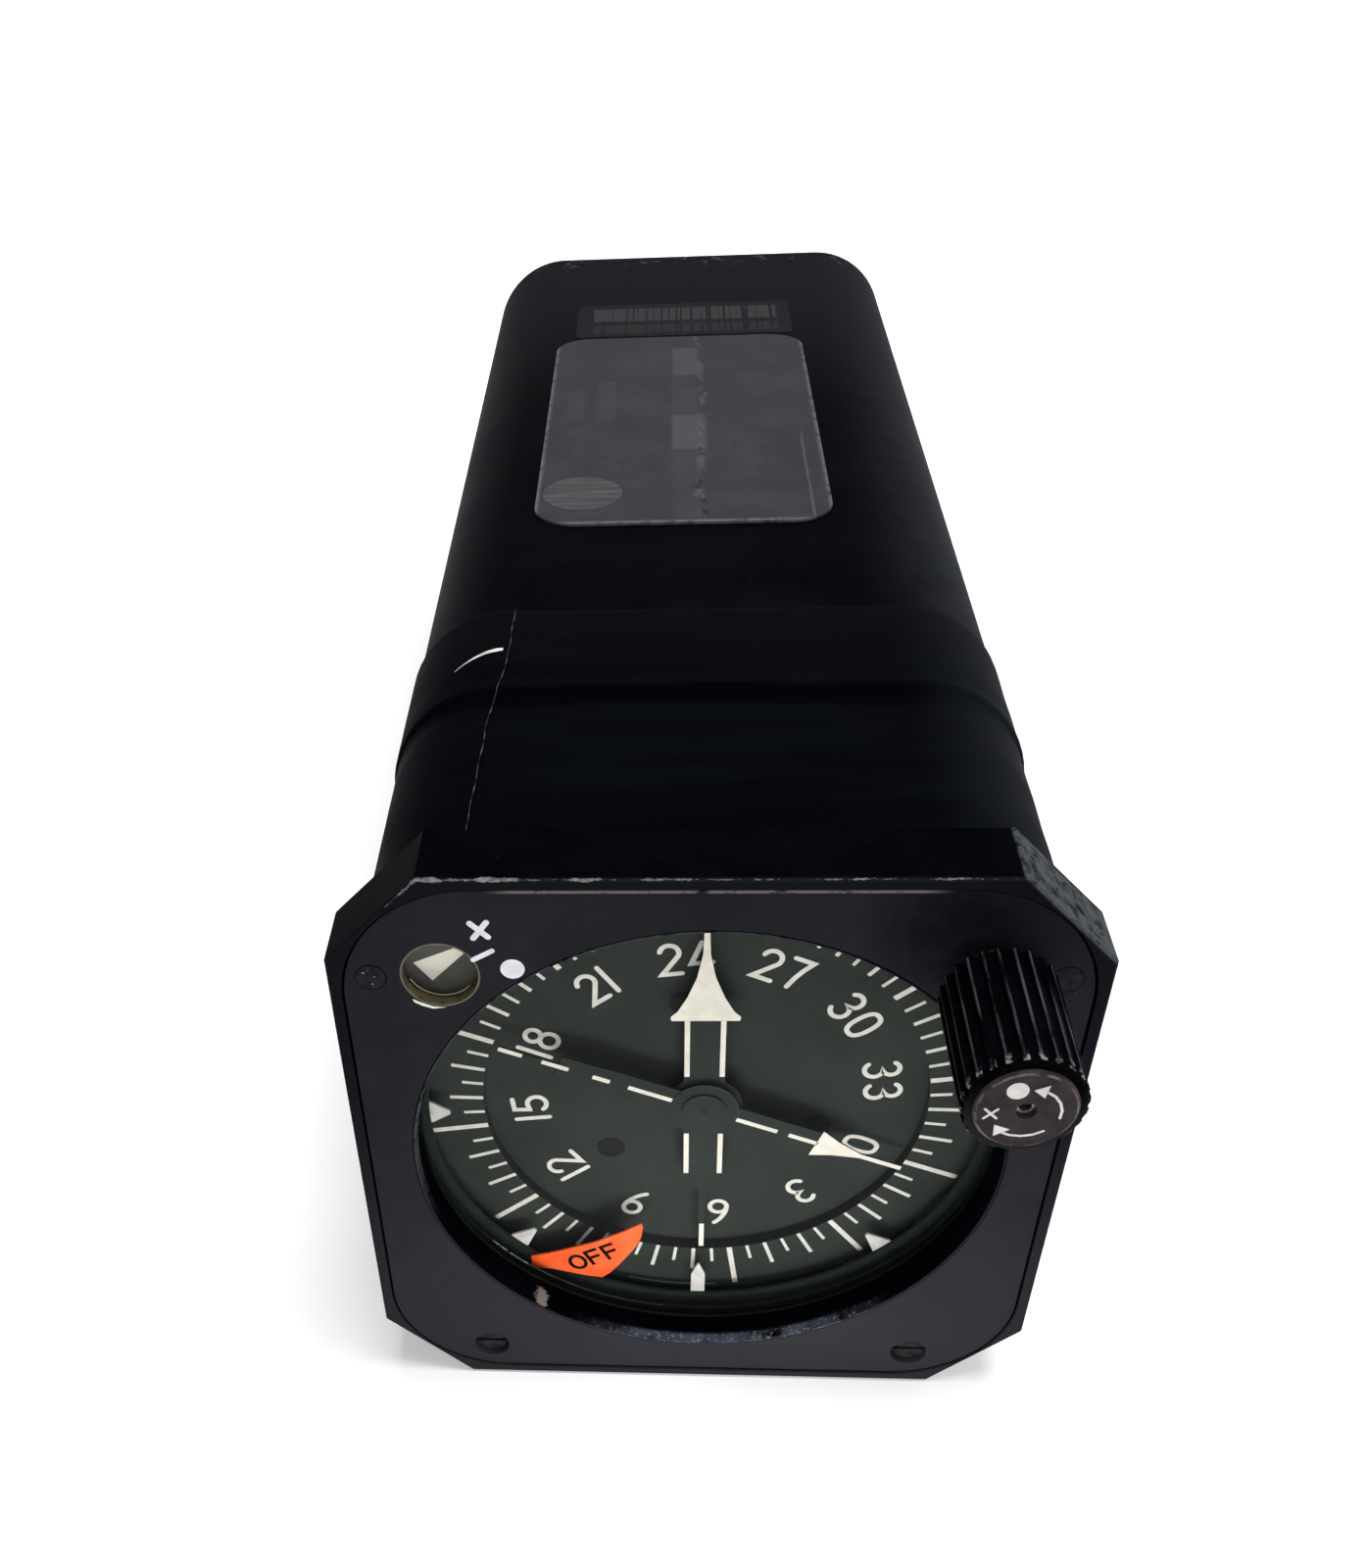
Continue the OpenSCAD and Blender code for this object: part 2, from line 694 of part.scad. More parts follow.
module double_pointer_gear() {
    color("#c2a14d") slab(double_gear_depth, double_gear_depth + gear_t)
        gear(synchro_teeth, 0, double_tube_r + seat_fit);
}

// Single-bar pointer: a flat strip with an arrow head, a thin tip and tail, and a domed hub
module single_pointer() {
    head_base = 15;
    half = 0.34;
    strip_half = 1.85;
    strip_tail = single_tip - 7.6;
    color("#dcd8c8") {
        slab(single_depth, single_depth + plate_t) rotate(-single_turn) difference() {
            union() {
                circle(2.75);
                polygon([[-half, -single_tip], [half, -single_tip], [half, single_tip], [-half, single_tip]]);
                polygon([
                    [-1.6, -strip_tail], [1.6, -strip_tail],
                    [strip_half, 8 - strip_tail], [strip_half, head_base + 0.3],
                    [-strip_half, head_base + 0.3], [-strip_half, 8 - strip_tail]
                ]);
                polygon([
                    [2.25, head_base], [1.2, head_base + 2.6], [0.2, head_base + 6.3],
                    [-0.2, head_base + 6.3], [-1.2, head_base + 2.6], [-2.25, head_base]
                ]);
            }
            circle(single_shaft_r + seat_fit);
        }
    }
}
module single_pointer_shaft() {
    color("#b8b8b4") {
        disc(hub_depth, rear_mech_back + shaft_in, single_shaft_r);
        disc(hub_depth, single_depth, 2.7);
    }
}

// Flag blade in front of the mask, its arm round the edge of the card, and its meter
module off_flag() {
    color("#ff6a2c") slab(flag_depth, flag_depth + plate_t) translate(flag_post_at)
        polygon([
            [0.3, 3.74], [2.5, 4.33], [5.43, 5.42], [8.91, 6.82], [12.36, 8.8], [14.96, 10.6],
            [15.1, 9.8], [14.9, 8.04], [14.4, 6.5], [13.76, 5.3], [12.74, 3.61], [11.72, 2.02],
            [10.69, 0.64], [9.65, -0.29], [7.46, 0.1], [5.29, 0.7], [2.97, 1.34], [1.1, 1.5],
            [0.8, -0.3], [0.3, -0.8], [-0.3, -0.8], [-0.8, -0.3], [-0.7, 0.8], [0.3, 2]
        ]);
}
module flag_arm() {
    reach = flag_post_at - flag_pivot;
    color("#4a4d50") {
        disc(flag_depth + plate_t, flag_arm_depth + eps, 0.6, flag_post_at);
        slab(flag_arm_depth, flag_arm_depth + flag_arm_t) {
            translate(flag_pivot) circle(1.6);
            translate(flag_pivot) rotate(atan2(reach[1], reach[0]))
                translate([0, -0.9]) square([norm(reach), 1.8]);
            translate(flag_post_at) circle(0.9);
        }
        disc(flag_arm_depth + flag_arm_t - eps, front_plate_depth + 4, 0.5, flag_pivot);
    }
}
module flag_meter() {
    front = flag_arm_depth + flag_arm_t + 0.5;
    color("#5c5f63") difference() {
        disc(front, front_plate_depth + mech_t + 1.5, flag_meter_r, flag_pivot);
        disc(front - 1, front_plate_depth + 4.6 - 0.5, 0.5 + run_fit, flag_pivot);
    }
}

// Annunciator: window in the panel opening, turning pointer disc and its small meter
module annunciator_window() {
    back = panel_sink + panel_t;
    color("lightgrey", 0.3) disc(back - 0.75, back, annun_r - seat_fit, annun_at);
}
module annunciator_pointer() {
    color("#55554a") {
        disc(annun_depth, annun_depth + plate_t, annun_plate_r, annun_at);
        disc(annun_depth + plate_t - eps, annun_depth + 4, 0.4, annun_at);
    }
}
module annunciator_meter() {
    front = annun_depth + plate_t + 0.5;
    color("#5c5f63") difference() {
        disc(front, front + annun_meter_len, annun_meter_r, annun_at);
        disc(front - 1, annun_depth + 4.6, 0.4 + run_fit, annun_at);
    }
}

// Fluted push knob, hollow at the rear for its spring
module knob() {
    flute_r = 0.5;
    color("#0d0d0f") difference() {
        union() {
            disc(knob_front + 0.9, knob_back, knob_r, knob_at);
            taper(knob_front + 0.5, knob_front + 0.91, knob_r - 0.4, knob_r, knob_at);
        }
        for (k = [0 : knob_flutes - 1])
            disc(knob_front - 1, knob_back + 1, flute_r,
                knob_at + polar(knob_r + flute_r * 0.25, 360 * k / knob_flutes));
        disc(knob_front - 1, knob_front + 2.4, knob_cap_r, knob_at);
        disc(knob_back - 7, knob_back + 1, spring_r + spring_wire / 2 + 0.35, knob_at);
        disc(knob_front - 1, knob_back + 1, knob_shaft_r, knob_at);
    }
}
module knob_cap() {
    color("#241c1e") difference() {
        union() {
            disc(knob_front + 0.3, knob_front + 2.4, knob_cap_r - seat_fit, knob_at);
            taper(knob_front, knob_front + 0.31, knob_cap_r - 0.35, knob_cap_r - seat_fit, knob_at);
        }
        disc(knob_front - 1, knob_front + 3, 1, knob_at);
    }
}
module knob_screw() {
    color("#9a958a") difference() {
        disc(knob_front + 0.7, knob_front + 2.4, 1 - seat_fit, knob_at);
        disc(knob_front, knob_front + 1.9, 0.62, knob_at);
    }
}

// Shaft of the knob: round through the bush, square where it slides in the gear, with a
// clip behind the bezel wall that stops it from coming out
module knob_shaft() {
    square_start = sync_depth - 3.5;
    color("#a9a9a6") {
        disc(knob_front + 2.4, square_start, knob_shaft_r, knob_at);
        disc(bush_end + 0.05, bush_end + 0.75, knob_shaft_r + 0.9, knob_at);
        slab(square_start - eps, sync_depth + gear_t + 1.4)
            translate(knob_at) square(square_side, center = true);
    }
}

// Return spring: flat end turns joined by an open helix
module knob_spring() {
    top = knob_back - 7 + spring_wire / 2 + 0.02;
    bottom = panel_sink - spring_wire / 2 - 0.02;
    steps = 14 * spring_turns;
    color("#8f8f8c") wire([
        for (k = [0 : steps])
            let (a = 360 * spring_turns * k / steps, s = min(1, max(0, (k / steps - 0.14) / 0.72)))
            [knob_at[0] + spring_r * cos(a), face_y + top + (bottom - top) * (s * 0.82 + k / steps * 0.18),
            knob_at[1] + spring_r * sin(a)]
    ], spring_wire / 2, 6);
}
module knob_bush() {
    color("#6a6a66") difference() {
        union() {
            disc(panel_sink, panel_sink + panel_t, bush_flange_r, knob_at);
            disc(panel_sink + panel_t - eps, bush_end, bush_r, knob_at);
        }
        disc(-1, web_end + 1, knob_shaft_r + run_fit, knob_at);
    }
}

// Gear on the knob's axis: the square of the shaft slides through its hub
module knob_gear() {
    color("#c2a14d") translate([knob_at[0], 0, knob_at[1]]) difference() {
        union() {
            slab(sync_depth, sync_depth + gear_t) gear(knob_teeth, 0, 0);
            disc(sync_depth + gear_t - eps, middle_back, knob_hub_r);
        }
        slab(sync_depth - 1, middle_back + 1) square(square_side + 2 * square_gap, center = true);
    }
}
module sync_gear() {
    start = mesh_angle(knob_teeth, 0, sync_teeth, sync_angle);
    color("#c2a14d") {
        slab(sync_depth, sync_depth + gear_t) translate(sync_at) gear(sync_teeth, start, 0);
        disc(sync_depth + gear_t - eps, middle_back + shaft_in, small_shaft_r, sync_at);
    }
}

// Motors and synchros are cans with a shaft hole at the front and a terminal boss behind
module can(d, len, r, at, hole) {
    difference() {
        union() {
            disc(d, d + len - 3, r, at);
            disc(d + len - 3 - eps, d + len, r - 2.5, at);
        }
        disc(d - 1, d + shaft_in + 0.5, hole, at);
        disc(d + 3, d + 3.8, r + 1, at, r - 0.5);
    }
}
module sync_resolver() {
    color("#8b8d8f") can(middle_back, 24, 7, sync_at, small_shaft_r + run_fit);
}
module servo_motor() {
    color("#8b8d8f") can(middle_back, synchro_len, motor_r, motor_at, small_shaft_r + run_fit);
}
module heading_synchro() {
    color("#8b8d8f") can(middle_back, synchro_len, synchro_r, heading_at, small_shaft_r + run_fit);
}
module bearing_synchro() {
    color("#8b8d8f") can(middle_back, synchro_len, synchro_r, bearing_at, small_shaft_r + run_fit);
}
module single_synchro() {
    color("#8b8d8f") can(rear_mech_back, synchro_len, synchro_r, [0, 0], single_shaft_r + run_fit);
}

// Gears of the card train and of the double pointer's synchro
module idler_gear() {
    wheel = mesh_angle(card_teeth, 0, idler_teeth, idler_angle);
    color("#c2a14d") {
        slab(card_gear_depth, card_gear_depth + gear_t) translate(idler_at) gear(idler_teeth, wheel, 0);
        disc(front_plate_depth + 0.5, middle_back - 0.5, small_shaft_r, idler_at);
        slab(idler_depth, idler_depth + gear_t) translate(idler_at) gear(synchro_teeth, 0, 0);
    }
}
module motor_pinion() {
    start = mesh_angle(synchro_teeth, 0, motor_teeth, motor_angle);
    color("#b8b8b4") {
        slab(idler_depth, idler_depth + gear_t) translate(motor_at) gear(motor_teeth, start, 0);
        disc(idler_depth - 0.3, middle_back + shaft_in, small_shaft_r, motor_at);
    }
}
module heading_gear() {
    start = mesh_angle(synchro_teeth, 0, synchro_teeth, heading_angle);
    color("#c2a14d") {
        slab(transfer_depth, transfer_depth + gear_t) translate(heading_at) gear(synchro_teeth, start, 0);
        disc(transfer_depth + gear_t - eps, middle_back + shaft_in, small_shaft_r, heading_at);
    }
}
module bearing_gear() {
    start = mesh_angle(synchro_teeth, 0, synchro_teeth, bearing_angle);
    color("#c2a14d") {
        slab(double_gear_depth, double_gear_depth + gear_t)
            translate(bearing_at) gear(synchro_teeth, start, 0);
        disc(double_gear_depth + gear_t - eps, middle_back + shaft_in, small_shaft_r, bearing_at);
    }
}

// Mechanism plates and the posts between them
module mech_section() {
    rounded(mech_w, mech_w, cavity_corner - 0.5);
}
module front_plate() {
    color("#9fa3a5") slab(front_plate_depth, front_plate_depth + mech_t) difference() {
        mech_section();
        circle(bearing_r + seat_fit);
        translate(flag_pivot) circle(flag_meter_r + seat_fit);
        translate(knob_at) circle(knob_shaft_r + run_fit);
        translate(idler_at) circle(small_shaft_r + run_fit);
        for (p = pillars_at) translate(p) circle(small_shaft_r + seat_fit);
    }
}
module front_plate_screws() {
    color("#b0b0ac") for (p = pillars_at)
        rear_screw(p, front_plate_depth + mech_t, 1.9, 1.2, small_shaft_r - seat_fit, mech_t + 3.5);
}
module middle_plate() {
    color("#9fa3a5") slab(middle_plate_depth, middle_back) difference() {
        mech_section();
        circle(double_tube_r + run_fit);
        for (p = [heading_at, bearing_at, motor_at, idler_at, sync_at])
            translate(p) circle(small_shaft_r + run_fit);
        translate(knob_at) circle(knob_hub_r + run_fit);
    }
}
module rear_mech_plate() {
    color("#9fa3a5") slab(rear_mech_depth, rear_mech_back) difference() {
        mech_section();
        circle(single_shaft_r + run_fit);
    }
}
module spacer_posts() {
    spans = [
        [front_plate_depth + mech_t, middle_plate_depth],
        [middle_back, rear_mech_depth],
        [rear_mech_back, case_end]
    ];
    color("#a9a9a6") difference() {
        for (s = spans, p = posts_at) disc(s[0], s[1], post_r, p);
        for (p = posts_at) disc(case_end - 9, case_end + 1, small_shaft_r + seat_fit, p);
    }
}

// Circuit boards on the posts, with their parts, and the transformer
module board(d) {
    slab(d, d + board_t) difference() {
        rounded(board_w, board_w, case_corner - 2.4);
        for (p = posts_at) translate(p) circle(post_r + seat_fit);
    }
}
module servo_board() {
    d = servo_board_depth;
    top = d + board_t - eps;
    pitch = board_w / 8;
    color("#3d5a3a") {
        board(d);
        for (k = [0 : 3])
            disc(top, d + capacitor_len * 0.85, capacitor_r * 0.7, pitch * [k - 2.5, 1.75]);
        for (k = [0 : 4])
            slab(top, top + board_t * 2)
                translate(pitch * [k - 2.2, -0.2]) square(pitch * [0.65, 1.3], center = true);
        for (k = [0 : 5])
            disc(top, d + capacitor_len * 0.55, capacitor_r * 0.5, pitch * [0.76 * k - 2.1, -2]);
    }
}
module power_board() {
    d = power_board_depth;
    top = d + board_t - eps;
    pitch = board_w / 8;
    color("#3d5a3a") {
        board(d);
        for (k = [0 : 2]) disc(top, top + capacitor_len, capacitor_r, pitch * [1.3 * k - 2.3, 2.4]);
        for (k = [0 : 3])
            slab(top, top + board_t * 2.6)
                translate(pitch * [2.6, 1.3 - 0.87 * k]) square(pitch * [0.9, 0.55], center = true);
    }
}

// Laminated core with a winding that stands out above and below it
module transformer() {
    d = power_board_depth + board_t;
    at = [-transformer_w * 0.1, -transformer_h * 0.35];
    color("#6b6152") {
        slab(d, d + transformer_len) translate(at) square([transformer_w, transformer_h], center = true);
        slab(d + transformer_len * 0.12, d + transformer_len * 0.88)
            translate(at) square([transformer_w * 0.72, transformer_h * 1.3], center = true);
    }
}

// Case cover, tape, data plate and label
module case_cover() {
    color("#17181b") slab(case_start, case_end) difference() {
        case_section(case_w);
        case_section(case_w - 2 * case_wall);
    }
}
module case_tape() {
    gap = 0.03;
    step = case_start - tape_t;
    color("#0c0c0d") difference() {
        union() {
            slab(tape_start, case_start) case_section(neck_w + 2 * (gap + tape_t));
            slab(step, tape_end) case_section(case_w + 2 * (gap + tape_t));
        }
        slab(tape_start - 1, case_start + 1) case_section(neck_w + 2 * gap);
        slab(case_start - gap, tape_end + 1) case_section(case_w + 2 * gap);
    }
}
module top_plate(start, length, width, thick, corner, at_x) {
    translate([at_x, face_y + start + length / 2, case_w / 2])
        linear_extrude(thick) rounded(width, length, corner);
}
module data_plate() {
    color("#4a4b4d") top_plate(plate_start, plate_len, plate_w, 0.4, 6, -2.5);
}
module small_label() {
    color("#3b3b3c") top_plate(plate_start + plate_len + 1.4, label_len, label_w, 0.2, 1.2, -1.6);
}

// Rear plate with its screws into the posts
module rear_plate() {
    color("#1a1b1e") slab(case_end, rear_face) difference() {
        case_section(case_w);
        circle(shell_r - shell_wall + 0.4);
        for (p = posts_at) translate(p) circle(small_shaft_r + 2 * seat_fit);
        for (p = shell_screws_at()) translate(p) circle(small_shaft_r + seat_fit);
    }
}
module rear_plate_screws() {
    color("#b0b0ac") for (p = posts_at) rear_screw(p, rear_face, 2.2, 1.5, small_shaft_r, rear_t + 6);
}

// Round connector with a square flange, insert and pins
function shell_screws_at() = [for (sx = [-1, 1], sz = [-1, 1]) (shell_flange_w / 2 - 3.2) * [sx, sz]];
shell_front = rear_face + 2;
insert_depth = shell_front + shell_len - 9.5;
module connector_shell() {
    color("#6f7260") difference() {
        union() {
            slab(rear_face, shell_front) rounded(shell_flange_w, shell_flange_w, 2.5);
            disc(shell_front - eps, shell_front + shell_len, shell_r);
        }
        disc(rear_face - 1, shell_front + shell_len + 1, shell_r - shell_wall);
        for (p = shell_screws_at()) disc(rear_face - 1, shell_front + 1, small_shaft_r + seat_fit, p);
        for (k = [0 : 2]) slab(shell_front + shell_len - 5, shell_front + shell_len + 1)
            rotate(90 + 120 * k) translate([shell_r - shell_wall, 0]) square([1.6, 1.8], center = true);
    }
}
module connector_insert() {
    color("#2d2f31") difference() {
        disc(case_end - 4, insert_depth, shell_r - shell_wall - seat_fit);
        for (p = pin_places()) disc(insert_depth - 3, insert_depth + 1, pin_r + seat_fit, p);
    }
}
function pin_places() = concat(
    [[0, 0]],
    [for (k = [0 : 5]) polar(pin_circle / 2, 60 * k)],
    [for (k = [0 : 11]) polar(pin_circle, 30 * k + 15)]
);
module connector_pins() {
    color("#c8a84e") for (p = pin_places()) disc(insert_depth - 3, insert_depth + 4.3, pin_r, p);
}
module connector_screws() {
    color("#b0b0ac") for (p = shell_screws_at())
        rear_screw(p, shell_front, 1.9, 1.2, small_shaft_r, 2 + rear_t);
}

bezel();
face_panel();
face_panel_screws();
panel_lamps();
window_gasket();
window_glass();
window_clamp_ring();
dial_mask();
index_marks();
compass_card();
card_screws();
card_tube();
card_gear();
card_bearing();
double_pointer();
double_pointer_tube();
double_pointer_gear();
single_pointer();
single_pointer_shaft();
off_flag();
flag_arm();
flag_meter();
annunciator_window();
annunciator_pointer();
annunciator_meter();
knob();
knob_cap();
knob_screw();
knob_shaft();
knob_spring();
knob_bush();
knob_gear();
sync_gear();
sync_resolver();
front_plate();
front_plate_screws();
middle_plate();
rear_mech_plate();
spacer_posts();
idler_gear();
motor_pinion();
servo_motor();
heading_gear();
heading_synchro();
bearing_gear();
bearing_synchro();
single_synchro();
servo_board();
power_board();
transformer();
case_cover();
case_tape();
data_plate();
small_label();
rear_plate();
rear_plate_screws();
connector_shell();
connector_insert();
connector_pins();
connector_screws();
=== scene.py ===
import math

import bmesh
import bpy
from mathutils import Matrix, Vector


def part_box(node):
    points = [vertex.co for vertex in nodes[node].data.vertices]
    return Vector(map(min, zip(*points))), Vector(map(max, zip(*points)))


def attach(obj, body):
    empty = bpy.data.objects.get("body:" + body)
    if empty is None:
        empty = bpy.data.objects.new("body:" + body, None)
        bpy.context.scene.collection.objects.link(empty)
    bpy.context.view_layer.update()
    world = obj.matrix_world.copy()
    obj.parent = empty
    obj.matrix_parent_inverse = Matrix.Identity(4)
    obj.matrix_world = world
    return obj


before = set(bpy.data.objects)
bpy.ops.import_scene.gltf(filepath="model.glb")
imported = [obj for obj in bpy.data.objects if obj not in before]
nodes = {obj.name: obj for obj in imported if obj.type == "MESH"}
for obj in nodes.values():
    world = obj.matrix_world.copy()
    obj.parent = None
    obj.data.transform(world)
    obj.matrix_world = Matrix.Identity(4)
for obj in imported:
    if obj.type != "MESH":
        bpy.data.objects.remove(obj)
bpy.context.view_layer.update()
mm = 0.001
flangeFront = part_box("bezel")[0][1]  # front face of the flange, depths are counted from here


def depth(d):
    return flangeFront + d * mm


# middle of a node's box as the front shows it, x and z in millimetres
def middle(name):
    low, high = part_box(name)
    return (low[0] + high[0]) / 2 / mm, (low[2] + high[2]) / 2 / mm


knobAxis = middle("knob")
annunciatorAxis = middle("annunciator_window")

# camera, as the photograph was taken: near the dial, from above it
view = {
    "place": (-6.33, -136.54, 134.38),  # in millimetres
    "look": (-0.07797, 0.73439, -0.67423),
    "right": (0.99693, 0.06200, -0.04775),
    "focal": 1597.7,  # this and the next two are in pixels of the photograph
    "centre": (540.66, 1078.52),
    "image": (1394, 1600),
    "sensor": 36,
    "clip": (0.005, 20),
}


def placeCamera():
    look, right = Vector(view["look"]).normalized(), Vector(view["right"]).normalized()
    up = right.cross(look).normalized()
    right = look.cross(up).normalized()
    width, height = view["image"]
    data = bpy.data.cameras.new("photoCamera")
    data.lens = view["sensor"] * view["focal"] / height
    data.shift_x = (width / 2 - view["centre"][0]) / height
    data.shift_y = (view["centre"][1] - height / 2) / height
    data.clip_start, data.clip_end = view["clip"]
    camera = bpy.data.objects.new("photoCamera", data)
    turn = Matrix((right, up, -look)).transposed().to_4x4()
    camera.matrix_world = Matrix.Translation(Vector(view["place"]) * mm) @ turn
    bpy.context.scene.collection.objects.link(camera)
    bpy.context.scene.camera = camera


placeCamera()
bpy.context.scene.view_settings.view_transform = "Standard"
print("camera placed")


# small helpers for node trees
def node(tree, kind, values=None, **props):
    n = tree.nodes.new(kind)
    for key, value in props.items():
        setattr(n, key, value)
    for key, value in (values or {}).items():
        if isinstance(value, bpy.types.NodeSocket):
            tree.links.new(value, n.inputs[key])
        else:
            n.inputs[key].default_value = value
    return n


def maths(tree, operation, a, b=0.0):
    return node(tree, "ShaderNodeMath", {0: a, 1: b}, operation=operation).outputs[0]


def times(tree, product, *factors):
    for factor in factors:
        product = maths(tree, "MULTIPLY", product, factor)
    return product


def plus(tree, total, *terms):
    for term in terms:
        total = maths(tree, "ADD", total, term)
    return total


def minus(tree, a, b):
    return maths(tree, "SUBTRACT", a, b)


def absolute(tree, value):
    return maths(tree, "ABSOLUTE", value)


# distance from the Y axis, for x and z counted from it
def reachFrom(tree, x, z):
    return maths(tree, "SQRT", plus(tree, times(tree, x, x), times(tree, z, z)))


def ramp(tree, value, low, high, lowOut=0.0, highOut=1.0):
    n = node(tree, "ShaderNodeMapRange", {"Value": value}, interpolation_type="SMOOTHSTEP")
    n.inputs["From Min"].default_value, n.inputs["From Max"].default_value = low, high
    n.inputs["To Min"].default_value, n.inputs["To Max"].default_value = lowOut, highOut
    return n.outputs[0]


def millimetres(tree, stretch=(1, 1, 1)):
    place = node(tree, "ShaderNodeTexCoord").outputs["Object"]
    scale = [s / mm for s in stretch]
    return node(tree, "ShaderNodeMapping", {"Vector": place, "Scale": scale}).outputs[0]


def noise(tree, size, detail=3.0, rough=0.55, stretch=(1, 1, 1)):
    n = node(tree, "ShaderNodeTexNoise", {"Vector": millimetres(tree, stretch), "Scale": 1 / size})
    n.inputs["Detail"].default_value, n.inputs["Roughness"].default_value = detail, rough
    return n.outputs["Fac"]


# a noise about nought, up to half of the amount to each side
def wander(tree, size, amount):
    return times(tree, minus(tree, noise(tree, size), 0.5), amount)


def distance(tree, point):
    values = {0: millimetres(tree), 1: point}
    return node(tree, "ShaderNodeVectorMath", values, operation="DISTANCE").outputs["Value"]


def axes(tree):
    return node(tree, "ShaderNodeSeparateXYZ", {"Vector": millimetres(tree)}).outputs


def shade(tree, factor, a, b):
    n = node(tree, "ShaderNodeMix", data_type="RGBA")
    tree.links.new(factor, n.inputs["Factor"])
    for socket, value in ((n.inputs[6], a), (n.inputs[7], b)):
        if isinstance(value, bpy.types.NodeSocket):
            tree.links.new(value, socket)
        else:
            socket.default_value = (*value, 1)
    return n.outputs[2]


grainLook = {
    "patchDetail": 4.0, "grainDetail": 3.0, "noiseRough": 0.6,
    "colourCut": (0.35, 0.68), "roughCut": (0.3, 0.7),
}


# a finish: two close colours mixed by a noise, roughness that varies, and a fine bump
def finish(name, s):
    g = grainLook
    material = bpy.data.materials.new(name)
    material.use_nodes = True
    tree = material.node_tree
    body = tree.nodes["Principled BSDF"]
    body.inputs["Metallic"].default_value = s.get("metal", 0.0)
    body.inputs["Specular IOR Level"].default_value = s.get("specular", 0.5)
    stretch = s.get("stretch", (1, 1, 1))
    patches = noise(tree, s["patch"], g["patchDetail"], g["noiseRough"], stretch)
    grain = noise(tree, s["grain"], g["grainDetail"], g["noiseRough"], stretch)
    colour = shade(tree, ramp(tree, patches, *g["colourCut"]), s["dark"], s["light"])
    rough = ramp(tree, patches, *g["roughCut"], *s["rough"])
    bump = node(tree, "ShaderNodeBump", {"Height": grain, "Strength": s["bump"]})
    bump.inputs["Distance"].default_value = s["relief"] * mm
    tree.links.new(colour, body.inputs["Base Color"])
    tree.links.new(rough, body.inputs["Roughness"])
    tree.links.new(bump.outputs[0], body.inputs["Normal"])
    return {"material": material, "tree": tree, "body": body, "colour": colour, "rough": rough}


# the same finish in two other colours
def toned(name, base, dark, light, **changes):
    return finish(name, {**base, "dark": dark, "light": light, **changes})


# another finish that shows through where the mask is 1, such as bare metal at an edge
def worn(made, mask, colour, rough, metal=None):
    tree, body = made["tree"], made["body"]
    made["colour"] = shade(tree, mask, made["colour"], colour)
    mixed = node(tree, "ShaderNodeMix", data_type="FLOAT")
    tree.links.new(mask, mixed.inputs["Factor"])
    tree.links.new(made["rough"], mixed.inputs[2])
    mixed.inputs[3].default_value = rough
    made["rough"] = mixed.outputs[0]
    tree.links.new(made["colour"], body.inputs["Base Color"])
    tree.links.new(made["rough"], body.inputs["Roughness"])
    if metal is not None:
        tree.links.new(times(tree, mask, metal), body.inputs["Metallic"])


# a finish with its layers of wear. A zone is a ramp along a measure: x, y, z in millimetres or one
# that the piece adds. A noise cut between two levels breaks the layer up, and a share thins it out
def wornFinish(name, s, addMeasures=None):
    made = finish(name, s)
    tree = made["tree"]
    along = dict(zip("xyz", axes(tree)))
    if addMeasures:
        along.update(addMeasures(tree, *along.values()))
    for layer in s["wear"].values():
        factors = [ramp(tree, along[measure], *limits) for measure, *limits in layer.get("zones", ())]
        if "mask" in layer:
            factors.append(along[layer["mask"]])
        if "noise" in layer:
            factors.append(ramp(tree, noise(tree, *layer["noise"]), *layer["cut"]))
        if "share" in layer:
            factors.append(layer["share"])
        worn(made, times(tree, *factors), layer["colour"], layer["rough"], layer.get("metal"))
    return made


def dress(made, *names):
    for name in names:
        mesh = nodes[name].data
        mesh.materials.clear()
        mesh.materials.append(made["material"])


edgeLook = {"weld": 0.002, "angle": 38}


# rounds the sharp edges of a node a little, so that they catch the light
def soften(name, width, segments=2):
    piece = nodes[name]
    weld = piece.modifiers.new("weld", "WELD")
    weld.merge_threshold = edgeLook["weld"] * mm
    bevel = piece.modifiers.new("softEdge", "BEVEL")
    bevel.width, bevel.segments = width * mm, segments
    bevel.limit_method, bevel.angle_limit = "ANGLE", math.radians(edgeLook["angle"])
    bevel.harden_normals = False


